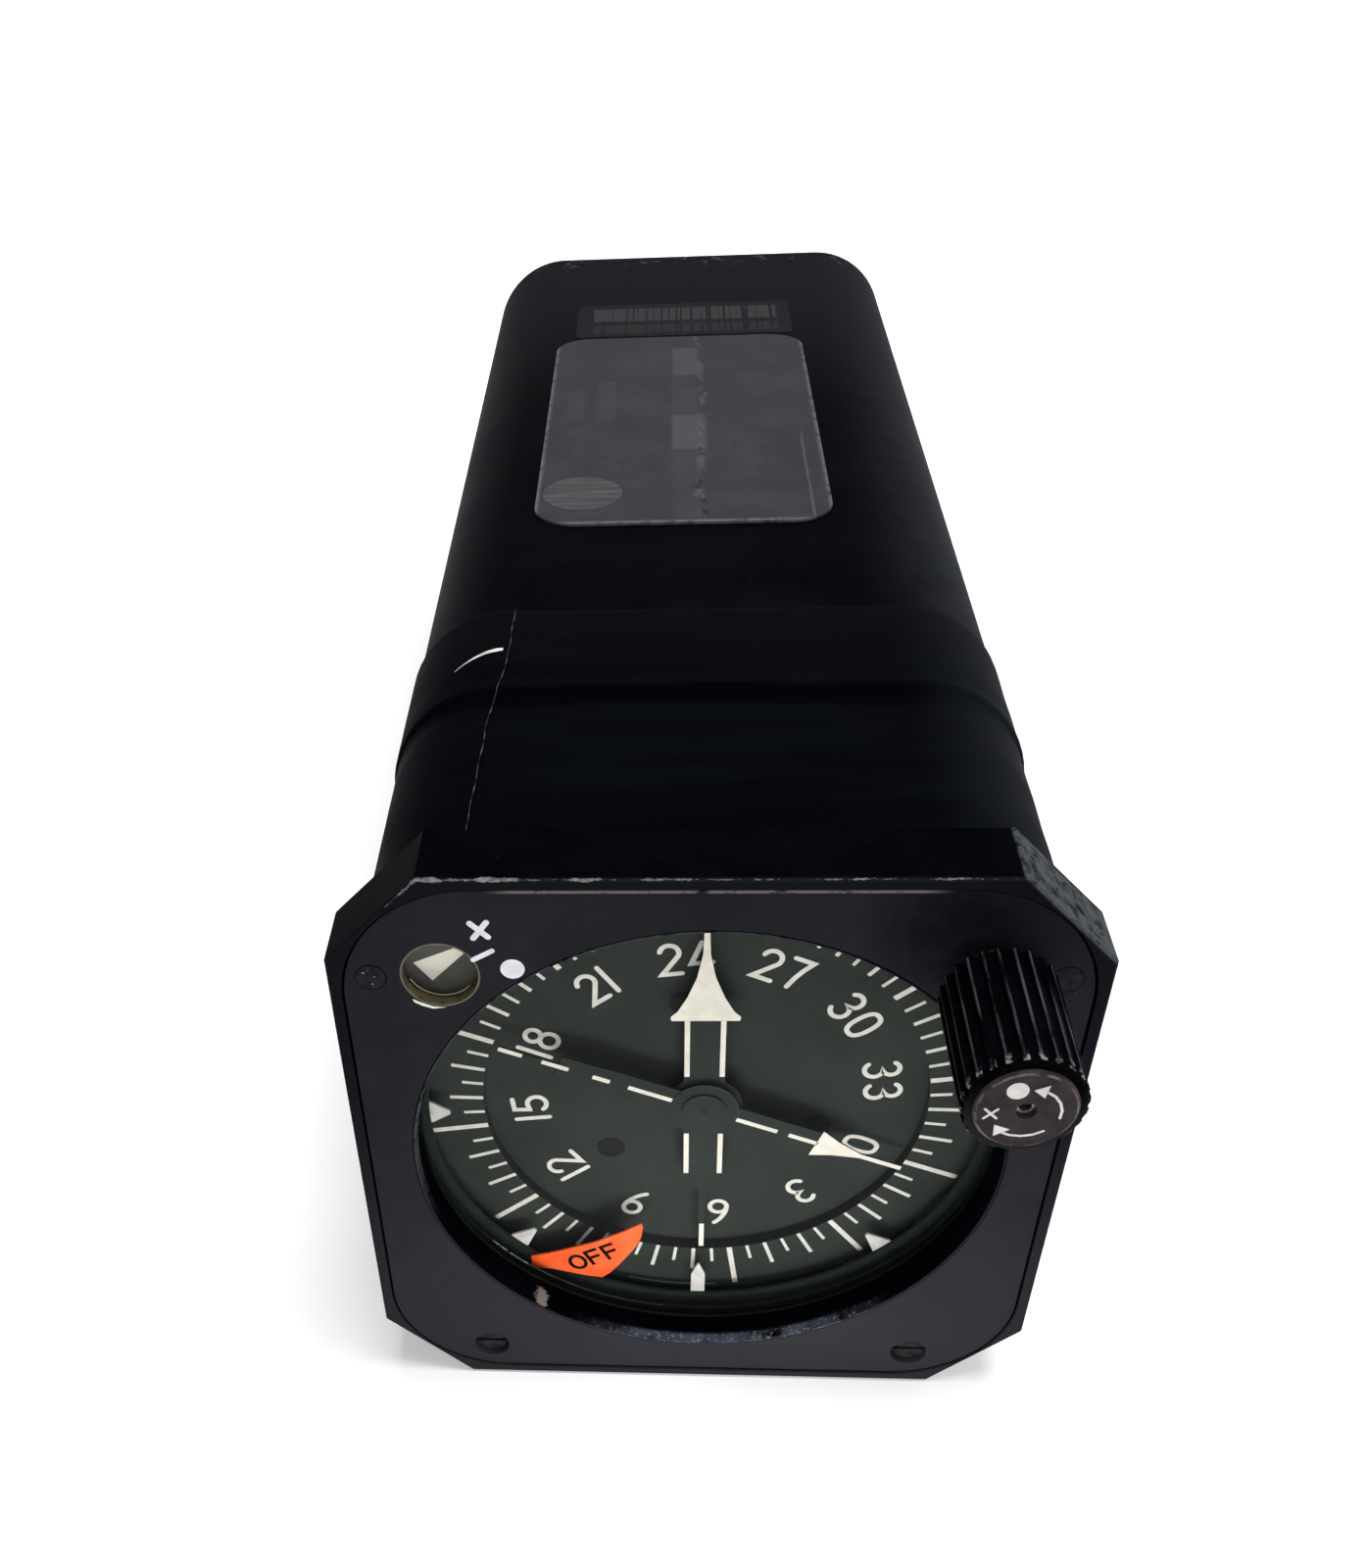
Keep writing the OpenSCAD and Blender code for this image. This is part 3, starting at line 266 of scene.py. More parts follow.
# bezel: black enamel, rubbed to bare metal along the top front edge and chipped in the bore; painted light
# on the lower front face, a painted sheen on the lower sides, and painted highlights on the right cut corner
# and the bore's lower lip
rubbedZones = [("band", 0.0, 0.25), ("y", -7.3, -7.8)]
boreZones = [("radius", 34.6, 34.3), ("y", -6.9, -7.6)]
bezelLook = {
    "dark": (0.0006, 0.0007, 0.0012), "light": (0.0014, 0.0016, 0.0025), "rough": (0.28, 0.44),
    "specular": 0.0012, "patch": 7.0, "grain": 0.4, "bump": 0.35, "relief": 0.05,
    "corner": 50.81,  # from the axis to the face of a cut corner
    "scratch": (1.5, 6.0, 0.78, (0.5, 1, 1)), "scratchReach": 2.0, "edgeReach": 1.9,
    "rubbedUp": (34.0, 41.0, -0.30, 0.50), "rubbedAcross": (-25.0, 25.0, 0.12, -0.12),
    "chip": (-20.5, -6.9, -27.1), "chipScratch": 4.0,
    # how the bore's upper patches and its painted lower-lip highlight lean across
    "boreTopLean": -0.8, "boreHighlightLean": -0.12,
    "wear": {
        "front": {"zones": [("y", -8.30, -8.50)], "colour": (0.0072, 0.0078, 0.0104), "rough": 0.5},
        # painted light: the flange's front face grows lighter towards the bottom
        "frontPaintedLight": {
            "zones": [("y", -8.30, -8.50), ("z", 20.0, -28.0, 0.0, 0.75)],
            "colour": (0.0210, 0.0212, 0.0245), "rough": 0.5,
        },
        "bareEdge": {"zones": rubbedZones, "colour": (0.19, 0.182, 0.18), "rough": 0.45, "metal": 0.3},
        "tarnish": {
            "zones": rubbedZones, "noise": (0.9, 5.0, 0.75, (0.6, 1, 1)), "cut": (0.42, 0.60, 0.0, 0.8),
            "colour": (0.060, 0.052, 0.052), "rough": 0.5,
        },
        "specks": {
            "noise": (0.8, 5.0, 0.75), "cut": (0.66, 0.72), "share": 0.6,
            "colour": (0.017, 0.018, 0.021), "rough": 0.7,
        },
        # painted sheen: the flange's lower sides lighter, mottled by a noise
        "lowerSidePaintedSheen": {
            "zones": [("y", -8.2, -7.4), ("z", 24.0, 4.0), ("radius", 35.5, 38.0)],
            "noise": (3.0, 5.0, 0.7), "cut": (0.25, 0.70, 0.35, 1.0),
            "colour": (0.0140, 0.0150, 0.0175), "rough": 0.5,
        },
        # painted reflection: the upper right cut corner lighter, broken up by a noise
        "rightCornerPaintedReflection": {
            "zones": [("diagonal", 60.0, 62.0), ("slant", -0.40, -0.15)],
            "noise": (1.8, 5.0, 0.7), "cut": (0.32, 0.60), "share": 0.85,
            "colour": (0.062, 0.069, 0.076), "rough": 0.5,
        },
        "boreTop": {
            "zones": boreZones + [("boreTop", 14.0, 36.0)], "noise": (1.5, 4.0, 0.7), "cut": (0.36, 0.52),
            "colour": (0.055, 0.060, 0.062), "rough": 0.4,
        },
        # painted highlight along the bore's lower lip: a soft bluish band, then bright specks
        "boreHighlight": {
            "zones": boreZones + [("boreHighlight", -27.0, -34.0), ("x", -20.0, -6.0)],
            "noise": (3.0, 4.0, 0.6), "cut": (0.30, 0.62), "colour": (0.052, 0.060, 0.078), "rough": 0.35,
        },
        "boreHighlightSpecks": {
            "zones": boreZones + [("boreHighlight", -27.0, -34.0), ("x", -20.0, -6.0)],
            "noise": (0.42, 3.0, 0.6), "cut": (0.56, 0.68), "colour": (0.17, 0.185, 0.215), "rough": 0.4,
        },
        "boreChip": {"zones": [("fromChip", 1.15, 0.92)], "colour": (0.15, 0.13, 0.12), "rough": 0.6},
    },
}


def bezelMeasures(tree, x, y, z):
    s = bezelLook
    ax, az = absolute(tree, x), absolute(tree, z)
    side = minus(tree, maths(tree, "MAXIMUM", ax, az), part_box("bezel")[1][0] / mm)
    slant = minus(tree, times(tree, plus(tree, ax, az), math.sqrt(0.5)), s["corner"])
    outer = maths(tree, "MAXIMUM", side, slant)
    nearEdge = maths(tree, "MINIMUM", outer, minus(tree, flangeFront / mm, y))
    scratch = minus(tree, noise(tree, *s["scratch"]), 0.5)
    width = plus(tree, ramp(tree, z, *s["rubbedUp"]), ramp(tree, x, *s["rubbedAcross"]))
    ragged = times(tree, scratch, s["scratchReach"])
    return {
        "slant": slant, "diagonal": plus(tree, x, z), "radius": reachFrom(tree, x, z),
        "band": plus(tree, times(tree, nearEdge, s["edgeReach"]), width, ragged),
        "boreTop": plus(tree, z, times(tree, x, s["boreTopLean"])),
        # leaning height for the painted highlight on the bore's lower lip
        "boreHighlight": plus(tree, z, times(tree, x, s["boreHighlightLean"])),
        "fromChip": plus(tree, distance(tree, s["chip"]), times(tree, scratch, s["chipScratch"])),
    }


dress(wornFinish("bezelEnamel", bezelLook, bezelMeasures), "bezel")
soften("bezel", 0.12)

# face panel: satin grey-black moulding with a fine grain, painted lighter towards the bottom, a painted
# shadow of the knob with a smudge, and a painted highlight along the top edge
panelLook = {
    "dark": (0.0108, 0.0112, 0.0148), "light": (0.0148, 0.0150, 0.0190), "rough": (0.45, 0.58),
    "specular": 0.02, "patch": 14.0, "grain": 0.16, "bump": 0.4, "relief": 0.025,
    # the last value is the centre of the painted knob shadow and smudge, in millimetres
    "driftSize": 9.0, "drift": 12.0, "knobShadowSmudge": (24.0, -8.5, 34.5),
    "wear": {
        "specks": {
            "noise": (0.55, 2.0), "cut": (0.73, 0.76), "share": 0.35,
            "colour": (0.06, 0.058, 0.055), "rough": 0.7,
        },
        # painted light: the panel grows lighter towards the bottom, with a wavering edge
        "lowerPaintedLight": {
            "zones": [("drifted", 18.0, -30.0, 0.0, 0.50)], "colour": (0.026, 0.0260, 0.0292), "rough": 0.55,
        },
        # painted shadow of the knob, cast upwards onto the panel, mixed with a smudge of dirt
        "knobShadowSmudge": {
            "zones": [("fromKnobShadowSmudge", 10.5, 3.0)], "noise": (3.0, 5.0, 0.7), "cut": (0.25, 0.60, 0.3, 0.9),
            "colour": (0.0038, 0.0042, 0.0062), "rough": 0.5,
        },
        # painted highlight: a reddish light line along the straight part of the top edge
        "topEdgePaintedHighlight": {
            "zones": [("z", 39.25, 39.45), ("aside", 24.0, 20.0)],
            "noise": (2.0, 5.0, 0.7), "cut": (0.36, 0.5), "colour": (0.16, 0.125, 0.13), "rough": 0.5,
        },
    },
}


def panelMeasures(tree, x, y, z):
    s = panelLook
    return {
        "drifted": plus(tree, z, times(tree, noise(tree, s["driftSize"]), s["drift"])),
        "fromKnobShadowSmudge": distance(tree, s["knobShadowSmudge"]),
        "aside": absolute(tree, x),
    }


dress(wornFinish("panelPaint", panelLook, panelMeasures), "face_panel")
soften("face_panel", 0.1)

screwLook = {
    "dark": (0.006, 0.006, 0.008), "light": (0.013, 0.0125, 0.015), "rough": (0.45, 0.65),
    "specular": 0.06, "patch": 0.9, "grain": 0.3, "bump": 0.7, "relief": 0.08,
    "wear": {
        "lowerScrews": {
            "zones": [("z", -30.0, -32.0)], "noise": (0.8, 4.0), "cut": (0.42, 0.6), "share": 0.45,
            "colour": (0.034, 0.031, 0.029), "rough": 0.5,
        },
    },
}
dress(wornFinish("screwPaint", screwLook), "face_panel_screws")
print("bezel and panel finished")

# cover: black enamel with dust, painted grey sheen on both sides, towards the far end and on the lower
# sides, and chips round the far edge
coverLook = {
    "dark": (0.0008, 0.0009, 0.0016), "light": (0.0020, 0.0022, 0.0035), "rough": (0.30, 0.44),
    "specular": 0.0012, "patch": 22.0, "grain": 0.8, "bump": 0.22, "relief": 0.06,
    "wear": {
        "dust": {
            "noise": (3.2, 6.0, 0.8, (1, 0.35, 1)), "cut": (0.60, 0.74), "share": 0.16,
            "colour": (0.014, 0.015, 0.018), "rough": 0.55,
        },
        # painted sheen: the right side lighter and bluish, broken up by a noise
        "rightPaintedSheen": {
            "zones": [("x", 20.0, 38.5), ("z", 4.0, 24.0)],
            "noise": (5.0, 5.0, 0.7), "cut": (0.2, 0.7, 0.50, 1.0),
            "colour": (0.0135, 0.0160, 0.0205), "rough": 0.5,
        },
        # painted sheen: the left side a little lighter
        "leftPaintedSheen": {
            "zones": [("x", -27.0, -38.5), ("z", 4.0, 24.0)], "share": 0.5,
            "colour": (0.012, 0.0135, 0.016), "rough": 0.5,
        },
        # painted sheen: lighter towards the rear, where the top is seen at a grazing angle
        "farPaintedSheen": {
            "zones": [("y", 120.0, 192.0, 0.0, 0.8)], "colour": (0.0092, 0.0100, 0.0116), "rough": 0.5,
        },
        # painted sheen: the cover's lower sides lighter, mottled by a noise
        "lowerSidePaintedSheen": {
            "zones": [("z", 22.0, -6.0)],
            "noise": (9.0, 6.0, 0.7, (1, 0.5, 1)), "cut": (0.25, 0.70, 0.35, 1.0),
            "colour": (0.0150, 0.0160, 0.0180), "rough": 0.5,
        },
        "scuffs": {
            "zones": [("z", 20.0, -4.0)],
            "noise": (2.2, 6.0, 0.75, (1, 0.3, 1)), "cut": (0.58, 0.64, 0.0, 0.5),
            "colour": (0.040, 0.041, 0.043), "rough": 0.6,
        },
        "rearFace": {
            "zones": [("y", 205.8, 206.2, 0.0, 0.9)], "colour": (0.0150, 0.0160, 0.0180), "rough": 0.5,
        },
        "farEdge": {
            "zones": [("y", 199.0, 205.5), ("y", 206.2, 206.0)],
            "noise": (2.2, 6.0, 0.75), "cut": (0.55, 0.62),
            "colour": (0.05, 0.05, 0.052), "rough": 0.5, "metal": 0.2,
        },
    },
}
dress(wornFinish("coverEnamel", coverLook), "case_cover", "rear_plate")
soften("rear_plate", 0.5, 3)

# wrapped tape, with folds that run round the case and a little lint; painted shade in the fold before the
# step, and painted sheen on the right, the far part and the lower sides
tapeLook = {
    "dark": (0.0007, 0.0010, 0.0017), "light": (0.0016, 0.0022, 0.0032), "rough": (0.36, 0.52),
    "specular": 0.0012, "patch": 9.0, "grain": 2.6, "bump": 0.5, "relief": 0.16, "stretch": (0.16, 1, 0.35),
    "waver": (12.0, 3.0),
    "wear": {
        "lint": {
            "noise": (0.5, 3.0, 0.6), "cut": (0.74, 0.78), "share": 0.4,
            "colour": (0.06, 0.06, 0.06), "rough": 0.7,
        },
        # painted shade: a dark band in the fold just in front of the step, with a wavering edge
        "valleyPaintedShade": {
            "zones": [("wavering", 28.8, 30.2), ("wavering", 34.6, 32.4)], "share": 0.8,
            "colour": (0.0002, 0.0004, 0.0010), "rough": 0.5,
        },
        # painted sheen: the tape lighter towards its far part
        "farPaintedSheen": {"zones": [("y", 36.0, 50.0, 0.0, 0.5)], "colour": (0.003, 0.0036, 0.0048), "rough": 0.5},
        # painted sheen: the tape's right side lighter
        "rightPaintedSheen": {
            "zones": [("x", 22.0, 38.0)], "share": 0.7, "colour": (0.0085, 0.0105, 0.0135), "rough": 0.5,
        },
        # painted sheen: the tape's lower sides lighter, mottled by a noise
        "lowerSidePaintedSheen": {
            "zones": [("z", 18.0, -6.0)],
            "noise": (6.0, 5.0, 0.7, (1, 1, 0.4)), "cut": (0.25, 0.70, 0.30, 0.9),
            "colour": (0.0105, 0.0118, 0.0145), "rough": 0.5,
        },
    },
}


def tapeMeasures(tree, x, y, z):
    return {"wavering": plus(tree, y, wander(tree, *tapeLook["waver"]))}


tapeMade = wornFinish("tapeFilm", tapeLook, tapeMeasures)
dress(tapeMade, "case_tape")


# the zones of a soft-edged rectangle seen from above, from its sides and its depths
def rectangle(left, right, near, far, blend=0.4):
    near, far = depth(near) / mm, depth(far) / mm
    return [
        ("x", left - blend, left + blend), ("x", right + blend, right - blend),
        ("y", near - blend, near + blend), ("y", far + blend, far - blend),
    ]


# a faint plain patch, where the plate of the real object is printed
def palePatch(left, right, near, far, share):
    zones = rectangle(left, right, near, far)
    return {"zones": zones, "share": share, "colour": (0.11, 0.11, 0.115), "rough": 0.6}


# data plate: dark anodised sheet with a rubbed streak, a row of dashes, a long scratch and worn edges
plateLook = {
    "dark": (0.029, 0.0305, 0.034), "light": (0.038, 0.040, 0.0440), "rough": (0.50, 0.68),
    "specular": 0.006, "patch": 10.0, "grain": 0.7, "bump": 0.2, "relief": 0.03,
    "streakAt": 0.8, "scratchAt": 16.2, "waver": (14.0, 5.0), "scratchWaver": 0.22,
    "sideEdge": (20.7, 21.4), "frontEdge": (80.9, 80.1),
    "wear": {
        "streak": {
            "zones": [("offStreak", 1.0, 0.2)], "noise": (1.6, 4.0, 0.7, (1, 0.3, 1)), "cut": (0.46, 0.62),
            "share": 0.30, "colour": (0.12, 0.12, 0.125), "rough": 0.6,
        },
        "dashes": {
            "zones": [("offStreak", 0.55, 0.25), ("y", 118.0, 110.0)],
            "noise": (1.1, 2.0, 0.5, (0.1, 0.4, 0.1)), "cut": (0.52, 0.58), "share": 0.6,
            "colour": (0.010, 0.010, 0.011), "rough": 0.6,
        },
        "fineScratches": {
            "noise": (1.1, 3.0, 0.6, (1.6, 0.06, 1)), "cut": (0.66, 0.70), "share": 0.35,
            "colour": (0.020, 0.020, 0.023), "rough": 0.7,
        },
        "longScratch": {
            "zones": [("offScratch", 0.3, 0.1), ("y", 115.0, 108.0)], "share": 0.28,
            "colour": (0.13, 0.13, 0.135), "rough": 0.6,
        },
        "middlePatch": palePatch(-3.8, 0.2, 90.0, 161.0, 0.07),
        "farPatch": palePatch(-3.6, 0.7, 147.2, 160.1, 0.20),
        "nearPatch": palePatch(-3.9, 1.5, 115.0, 129.0, 0.26),
        "leftPatch": palePatch(-20.9, -18.2, 128.0, 141.0, 0.08),
        "innerPatch": palePatch(-16.2, -13.0, 127.0, 145.0, 0.08),
        "edge": {
            "mask": "edge", "noise": (2.0, 4.0, 0.7), "cut": (0.30, 0.55), "share": 0.55,
            "colour": (0.14, 0.14, 0.145), "rough": 0.5,
        },
    },
}


def plateMeasures(tree, x, y, z):
    s = plateLook
    waver = wander(tree, *s["waver"])
    aside = absolute(tree, minus(tree, x, middle("data_plate")[0]))
    scratchX = plus(tree, minus(tree, x, s["scratchAt"]), times(tree, waver, s["scratchWaver"]))
    return {
        "offStreak": absolute(tree, plus(tree, minus(tree, x, s["streakAt"]), waver)),
        "offScratch": absolute(tree, scratchX),
        "edge": maths(tree, "MAXIMUM", ramp(tree, aside, *s["sideEdge"]), ramp(tree, y, *s["frontEdge"])),
    }


dress(wornFinish("plateAnodising", plateLook, plateMeasures), "data_plate")
soften("data_plate", 0.12)


# a faint row of plain upright bars
def barRow(near, far, share):
    return {
        "zones": rectangle(-18.2, 15.4, near, far),
        "noise": (0.6, 1.0, 0.5, (1, 0.01, 0.01)), "cut": (0.36, 0.46), "share": share,
        "colour": (0.038, 0.040, 0.042), "rough": 0.6,
    }


# small label: no lettering, only two rows of bars
labelLook = {
    "dark": (0.0105, 0.0110, 0.0125), "light": (0.0150, 0.0155, 0.0172), "rough": (0.5, 0.7),
    "specular": 0.003, "patch": 5.0, "grain": 0.6, "bump": 0.3, "relief": 0.03, "stretch": (0.3, 1, 1),
    "wear": {"farRow": barRow(176.15, 183.15, 0.75), "nearRow": barRow(169.75, 174.15, 0.32)},
}
dress(wornFinish("labelFilm", labelLook), "small_label")
print("case finished")

# knob: moulded flutes with painted highlight lines along the crests, a front ring greyer on its lower half
# and chipped tips
knobLook = {
    "dark": (0.0006, 0.0006, 0.0011), "light": (0.0014, 0.0014, 0.0022), "rough": (0.24, 0.38),
    "specular": 0.004, "patch": 3.0, "grain": 0.3, "bump": 0.3, "relief": 0.03,
    "flutes": 24, "crest": 0.56,  # where the crest stands between two grooves
    "wear": {
        # painted highlight: a thin light line down the middle of each crest
        "crestPaintedHighlights": {
            "zones": [("reach", 5.9, 6.0), ("offCrest", 0.13, 0.03)], "noise": (1.6, 5.0, 0.7, (1, 0.12, 1)),
            "cut": (0.42, 0.62), "colour": (0.044, 0.048, 0.052), "rough": 0.4,
        },
        "frontRing": {
            "zones": [("y", -27.5, -27.9), ("up", 3.0, -3.5)], "share": 0.8,
            "colour": (0.022, 0.022, 0.026), "rough": 0.5,
        },
        "tipChips": {
            "zones": [("reach", 5.88, 6.0), ("y", -26.2, -27.4)],
            "noise": (0.7, 4.0, 0.7), "cut": (0.50, 0.58), "colour": (0.22, 0.20, 0.19), "rough": 0.55,
        },
    },
}
capLook = {
    "dark": (0.018, 0.0130, 0.0150), "light": (0.034, 0.0255, 0.0285), "rough": (0.24, 0.38),
    "specular": 0.06, "patch": 2.4, "grain": 0.25, "bump": 0.25, "relief": 0.015,
    "rim": 4.72,
    "wear": {
        "rim": {
            "zones": [("offRim", 0.16, 0.05)], "noise": (1.3, 4.0, 0.7), "cut": (0.40, 0.60),
            "colour": (0.115, 0.095, 0.10), "rough": 0.35,
        },
    },
}


def knobMeasures(tree, x, y, z):
    aside, up = minus(tree, x, knobAxis[0]), minus(tree, z, knobAxis[1])
    perFlute = knobLook["flutes"] / (2 * math.pi)
    turned = maths(tree, "FRACT", times(tree, maths(tree, "ARCTAN2", up, aside), perFlute))
    return {
        "up": up, "reach": reachFrom(tree, aside, up),
        "offCrest": absolute(tree, minus(tree, turned, knobLook["crest"])),
    }


def capMeasures(tree, x, y, z):
    reach = reachFrom(tree, minus(tree, x, knobAxis[0]), minus(tree, z, knobAxis[1]))
    return {"offRim": absolute(tree, minus(tree, reach, capLook["rim"]))}


dress(wornFinish("knobMoulding", knobLook, knobMeasures), "knob")
soften("knob", 0.1)
dress(wornFinish("capGloss", capLook, capMeasures), "knob_cap")
soften("knob_cap", 0.22, 3)

# dial: card, mask, pointer plates and their green-black paint
dialLook = {
    "dark": (0.0282, 0.0336, 0.0300), "light": (0.0344, 0.0406, 0.0366), "rough": (0.55, 0.7),
    "specular": 0.02, "patch": 12.0, "grain": 0.2, "bump": 0.25, "relief": 0.015,
    "wear": {
        "lint": {
            "noise": (0.42, 2.0), "cut": (0.77, 0.79), "share": 0.5,
            "colour": (0.16, 0.17, 0.15), "rough": 0.8,
        },
    },
}
dress(wornFinish("dialGreen", dialLook), "compass_card")
greens = {
    "screwGreen": {
        "dark": (0.0085, 0.0108, 0.0092), "light": (0.0130, 0.0160, 0.0140), "rough": (0.3, 0.45),
        "specular": 0.06, "on": ["card_screws"],
    },
    "pointerGreen": {
        "dark": (0.0270, 0.0326, 0.0290), "light": (0.0330, 0.0396, 0.0354),
        "on": ["double_pointer", "single_pointer"],
    },
    "hubGreen": {
        "dark": (0.0272, 0.0328, 0.0294), "light": (0.0336, 0.0402, 0.0360), "rough": (0.35, 0.5),
        "on": ["single_pointer_shaft"],
    },
    "maskGreen": {
        "dark": (0.0160, 0.0220, 0.0170), "light": (0.0225, 0.0300, 0.0240), "on": ["dial_mask"],
    },
    "clampBlack": {
        "dark": (0.006, 0.0085, 0.0068), "light": (0.0105, 0.014, 0.0115),
        "on": ["window_gasket", "window_clamp_ring"],
    },
}
for name, s in greens.items():
    dress(finish(name, {**dialLook, **s}), *s["on"])

cream = {
    "dark": (0.65, 0.635, 0.56), "light": (0.76, 0.745, 0.665), "rough": (0.5, 0.65),
    "specular": 0.15, "patch": 1.6, "grain": 0.18, "bump": 0.3, "relief": 0.012,
}
markMade = finish("markCream", cream)
pointerMade = toned("pointerCream", cream, (0.72, 0.685, 0.58), (0.81, 0.78, 0.68))
wedgeMade = toned("wedgeCream", cream, (0.86, 0.81, 0.70), (0.92, 0.875, 0.77))
whiteMade = toned("panelWhite", cream, (0.62, 0.61, 0.67), (0.75, 0.74, 0.80))
dress(toned("indexCream", cream, (0.54, 0.53, 0.49), (0.67, 0.66, 0.61)), "index_marks")
dress(finish("flagOrange", {
    "dark": (0.93, 0.105, 0.020), "light": (1.0, 0.150, 0.040), "rough": (0.5, 0.62),
    "specular": 0.3, "patch": 3.0, "grain": 0.2, "bump": 0.25, "relief": 0.015,
}), "off_flag")
inkMade = finish("flagInk", {
    "dark": (0.003, 0.002, 0.002), "light": (0.008, 0.005, 0.004), "rough": (0.55, 0.7),
    "specular": 0.05, "patch": 1.0, "grain": 0.2, "bump": 0.2, "relief": 0.01,
})
dress(finish("annunciatorOlive", {
    "dark": (0.074, 0.073, 0.065), "light": (0.098, 0.097, 0.087), "rough": (0.5, 0.65),
    "specular": 0.10, "patch": 2.0, "grain": 0.2, "bump": 0.3, "relief": 0.015,
}), "annunciator_pointer")
print("dial finished")

# clear pieces let light straight through, with a weak gloss
clearLook = {"specular": 0.12, "patch": 16.0, "grain": 1.5, "bump": 0.05, "relief": 0.004}
clearSpread = 1.15  # lighter tint over darker tint
clearPieces = {
    "windowClear": {
        "dark": (0.030, 0.034, 0.038), "alpha": 0.03, "rough": (0.03, 0.06), "on": "window_glass",
    },
    "annunciatorClear": {
        "dark": (0.15, 0.14, 0.11), "alpha": 0.03, "rough": (0.08, 0.14), "on": "annunciator_window",
    },
    "lampClear": {"dark": (0.5, 0.46, 0.36), "alpha": 0.5, "rough": (0.1, 0.2), "on": "panel_lamps"},
}
for name, s in clearPieces.items():
    clearMade = finish(name, {**clearLook, **s, "light": [c * clearSpread for c in s["dark"]]})
    clearMade["body"].inputs["Alpha"].default_value = s["alpha"]
    dress(clearMade, s["on"])

# pieces inside the case, and the rear end
innerLook = {
    "steel": {
        "dark": (0.42, 0.42, 0.42), "light": (0.56, 0.56, 0.55), "rough": (0.28, 0.42), "metal": 1.0,
        "patch": 5.0, "grain": 0.35, "bump": 0.25, "relief": 0.01, "stretch": (1, 0.25, 1),
        "on": [
            "card_bearing", "double_pointer_tube", "motor_pinion", "servo_motor", "heading_synchro",
            "bearing_synchro", "single_synchro", "front_plate_screws", "rear_plate_screws",
            "connector_screws", "knob_shaft", "knob_spring", "knob_screw",
        ],
    },
    "aluminium": {
        "dark": (0.50, 0.51, 0.52), "light": (0.64, 0.65, 0.66), "rough": (0.34, 0.5), "metal": 1.0,
        "patch": 8.0, "grain": 0.5, "bump": 0.3, "relief": 0.015, "stretch": (0.2, 1, 1),
        "on": [
            "front_plate", "middle_plate", "rear_mech_plate", "spacer_posts", "sync_resolver", "flag_arm",
        ],
    },
    "brass": {
        "dark": (0.52, 0.36, 0.13), "light": (0.70, 0.50, 0.21), "rough": (0.25, 0.42), "metal": 1.0,
        "patch": 3.0, "grain": 0.3, "bump": 0.25, "relief": 0.01,
        "on": [
            "card_tube", "card_gear", "double_pointer_gear", "idler_gear", "heading_gear", "bearing_gear",
            "knob_gear", "sync_gear",
        ],
    },
    "gilt": {
        "dark": (0.70, 0.47, 0.15), "light": (0.84, 0.60, 0.22), "rough": (0.18, 0.3), "metal": 1.0,
        "patch": 2.0, "grain": 0.3, "bump": 0.2, "relief": 0.008, "on": ["connector_pins"],
    },
    "blackCan": {
        "dark": (0.020, 0.021, 0.023), "light": (0.032, 0.033, 0.035), "rough": (0.35, 0.5),
        "patch": 4.0, "grain": 0.4, "bump": 0.3, "relief": 0.02,
        "on": ["flag_meter", "annunciator_meter", "knob_bush"],
    },
    "laminate": {
        "dark": (0.012, 0.042, 0.014), "light": (0.022, 0.066, 0.024), "rough": (0.3, 0.45),
        "patch": 3.0, "grain": 0.5, "bump": 0.3, "relief": 0.02, "on": ["servo_board", "power_board"],
    },
    "varnish": {
        "dark": (0.060, 0.036, 0.016), "light": (0.110, 0.070, 0.032), "rough": (0.3, 0.5),
        "patch": 4.0, "grain": 0.5, "bump": 0.5, "relief": 0.05, "stretch": (0.2, 4, 0.2),
        "on": ["transformer"],
    },
    "olivePlating": {
        "dark": (0.075, 0.080, 0.038), "light": (0.125, 0.130, 0.068), "rough": (0.4, 0.58), "metal": 0.6,
        "patch": 3.0, "grain": 0.4, "bump": 0.3, "relief": 0.02, "on": ["connector_shell"],
    },
    "insertRubber": {
        "dark": (0.014, 0.015, 0.017), "light": (0.024, 0.025, 0.028), "rough": (0.55, 0.72),
        "patch": 3.0, "grain": 0.3, "bump": 0.3, "relief": 0.02, "on": ["connector_insert"],
    },
}
for name, s in innerLook.items():
    dress(finish(name, s), *s["on"])
soften("connector_shell", 0.12)
print("inner pieces finished")

strokeLook = {"mitre": 0.4, "capSteps": 8, "overlap": 0.004}  # overlap keeps crossing strokes apart


# paint and lettering: flat shapes in front view, x to the right and z up, in millimetres
def ribbon(bm, points, width, closed=False, caps=True, lift=0.0):
    pts = [Vector(p) for p in points]
    count = len(pts)
    half = width / 2
    sides = []
    for k in range(count):
        before = pts[(k - 1) % count] if closed or k > 0 else None
        after = pts[(k + 1) % count] if closed or k < count - 1 else None
        a = (pts[k] - before).normalized() if before is not None else None
        b = (after - pts[k]).normalized() if after is not None else None
        a, b = a or b, b or a
        along = (a + b).normalized()
        across = Vector((-along.y, along.x)) * (half / max(strokeLook["mitre"], along.dot(a)))
        sides.append([bm.verts.new((*(pts[k] + side * across), lift)) for side in (-1, 1)])
    for k in range(count if closed else count - 1):
        r1, l1 = sides[k]
        r2, l2 = sides[(k + 1) % count]
        bm.faces.new((r1, r2, l2, l1))
    if caps and not closed:
        roundCap(bm, pts[0], sides[0][1], sides[0][0], half, lift)
        roundCap(bm, pts[-1], sides[-1][0], sides[-1][1], half, lift)


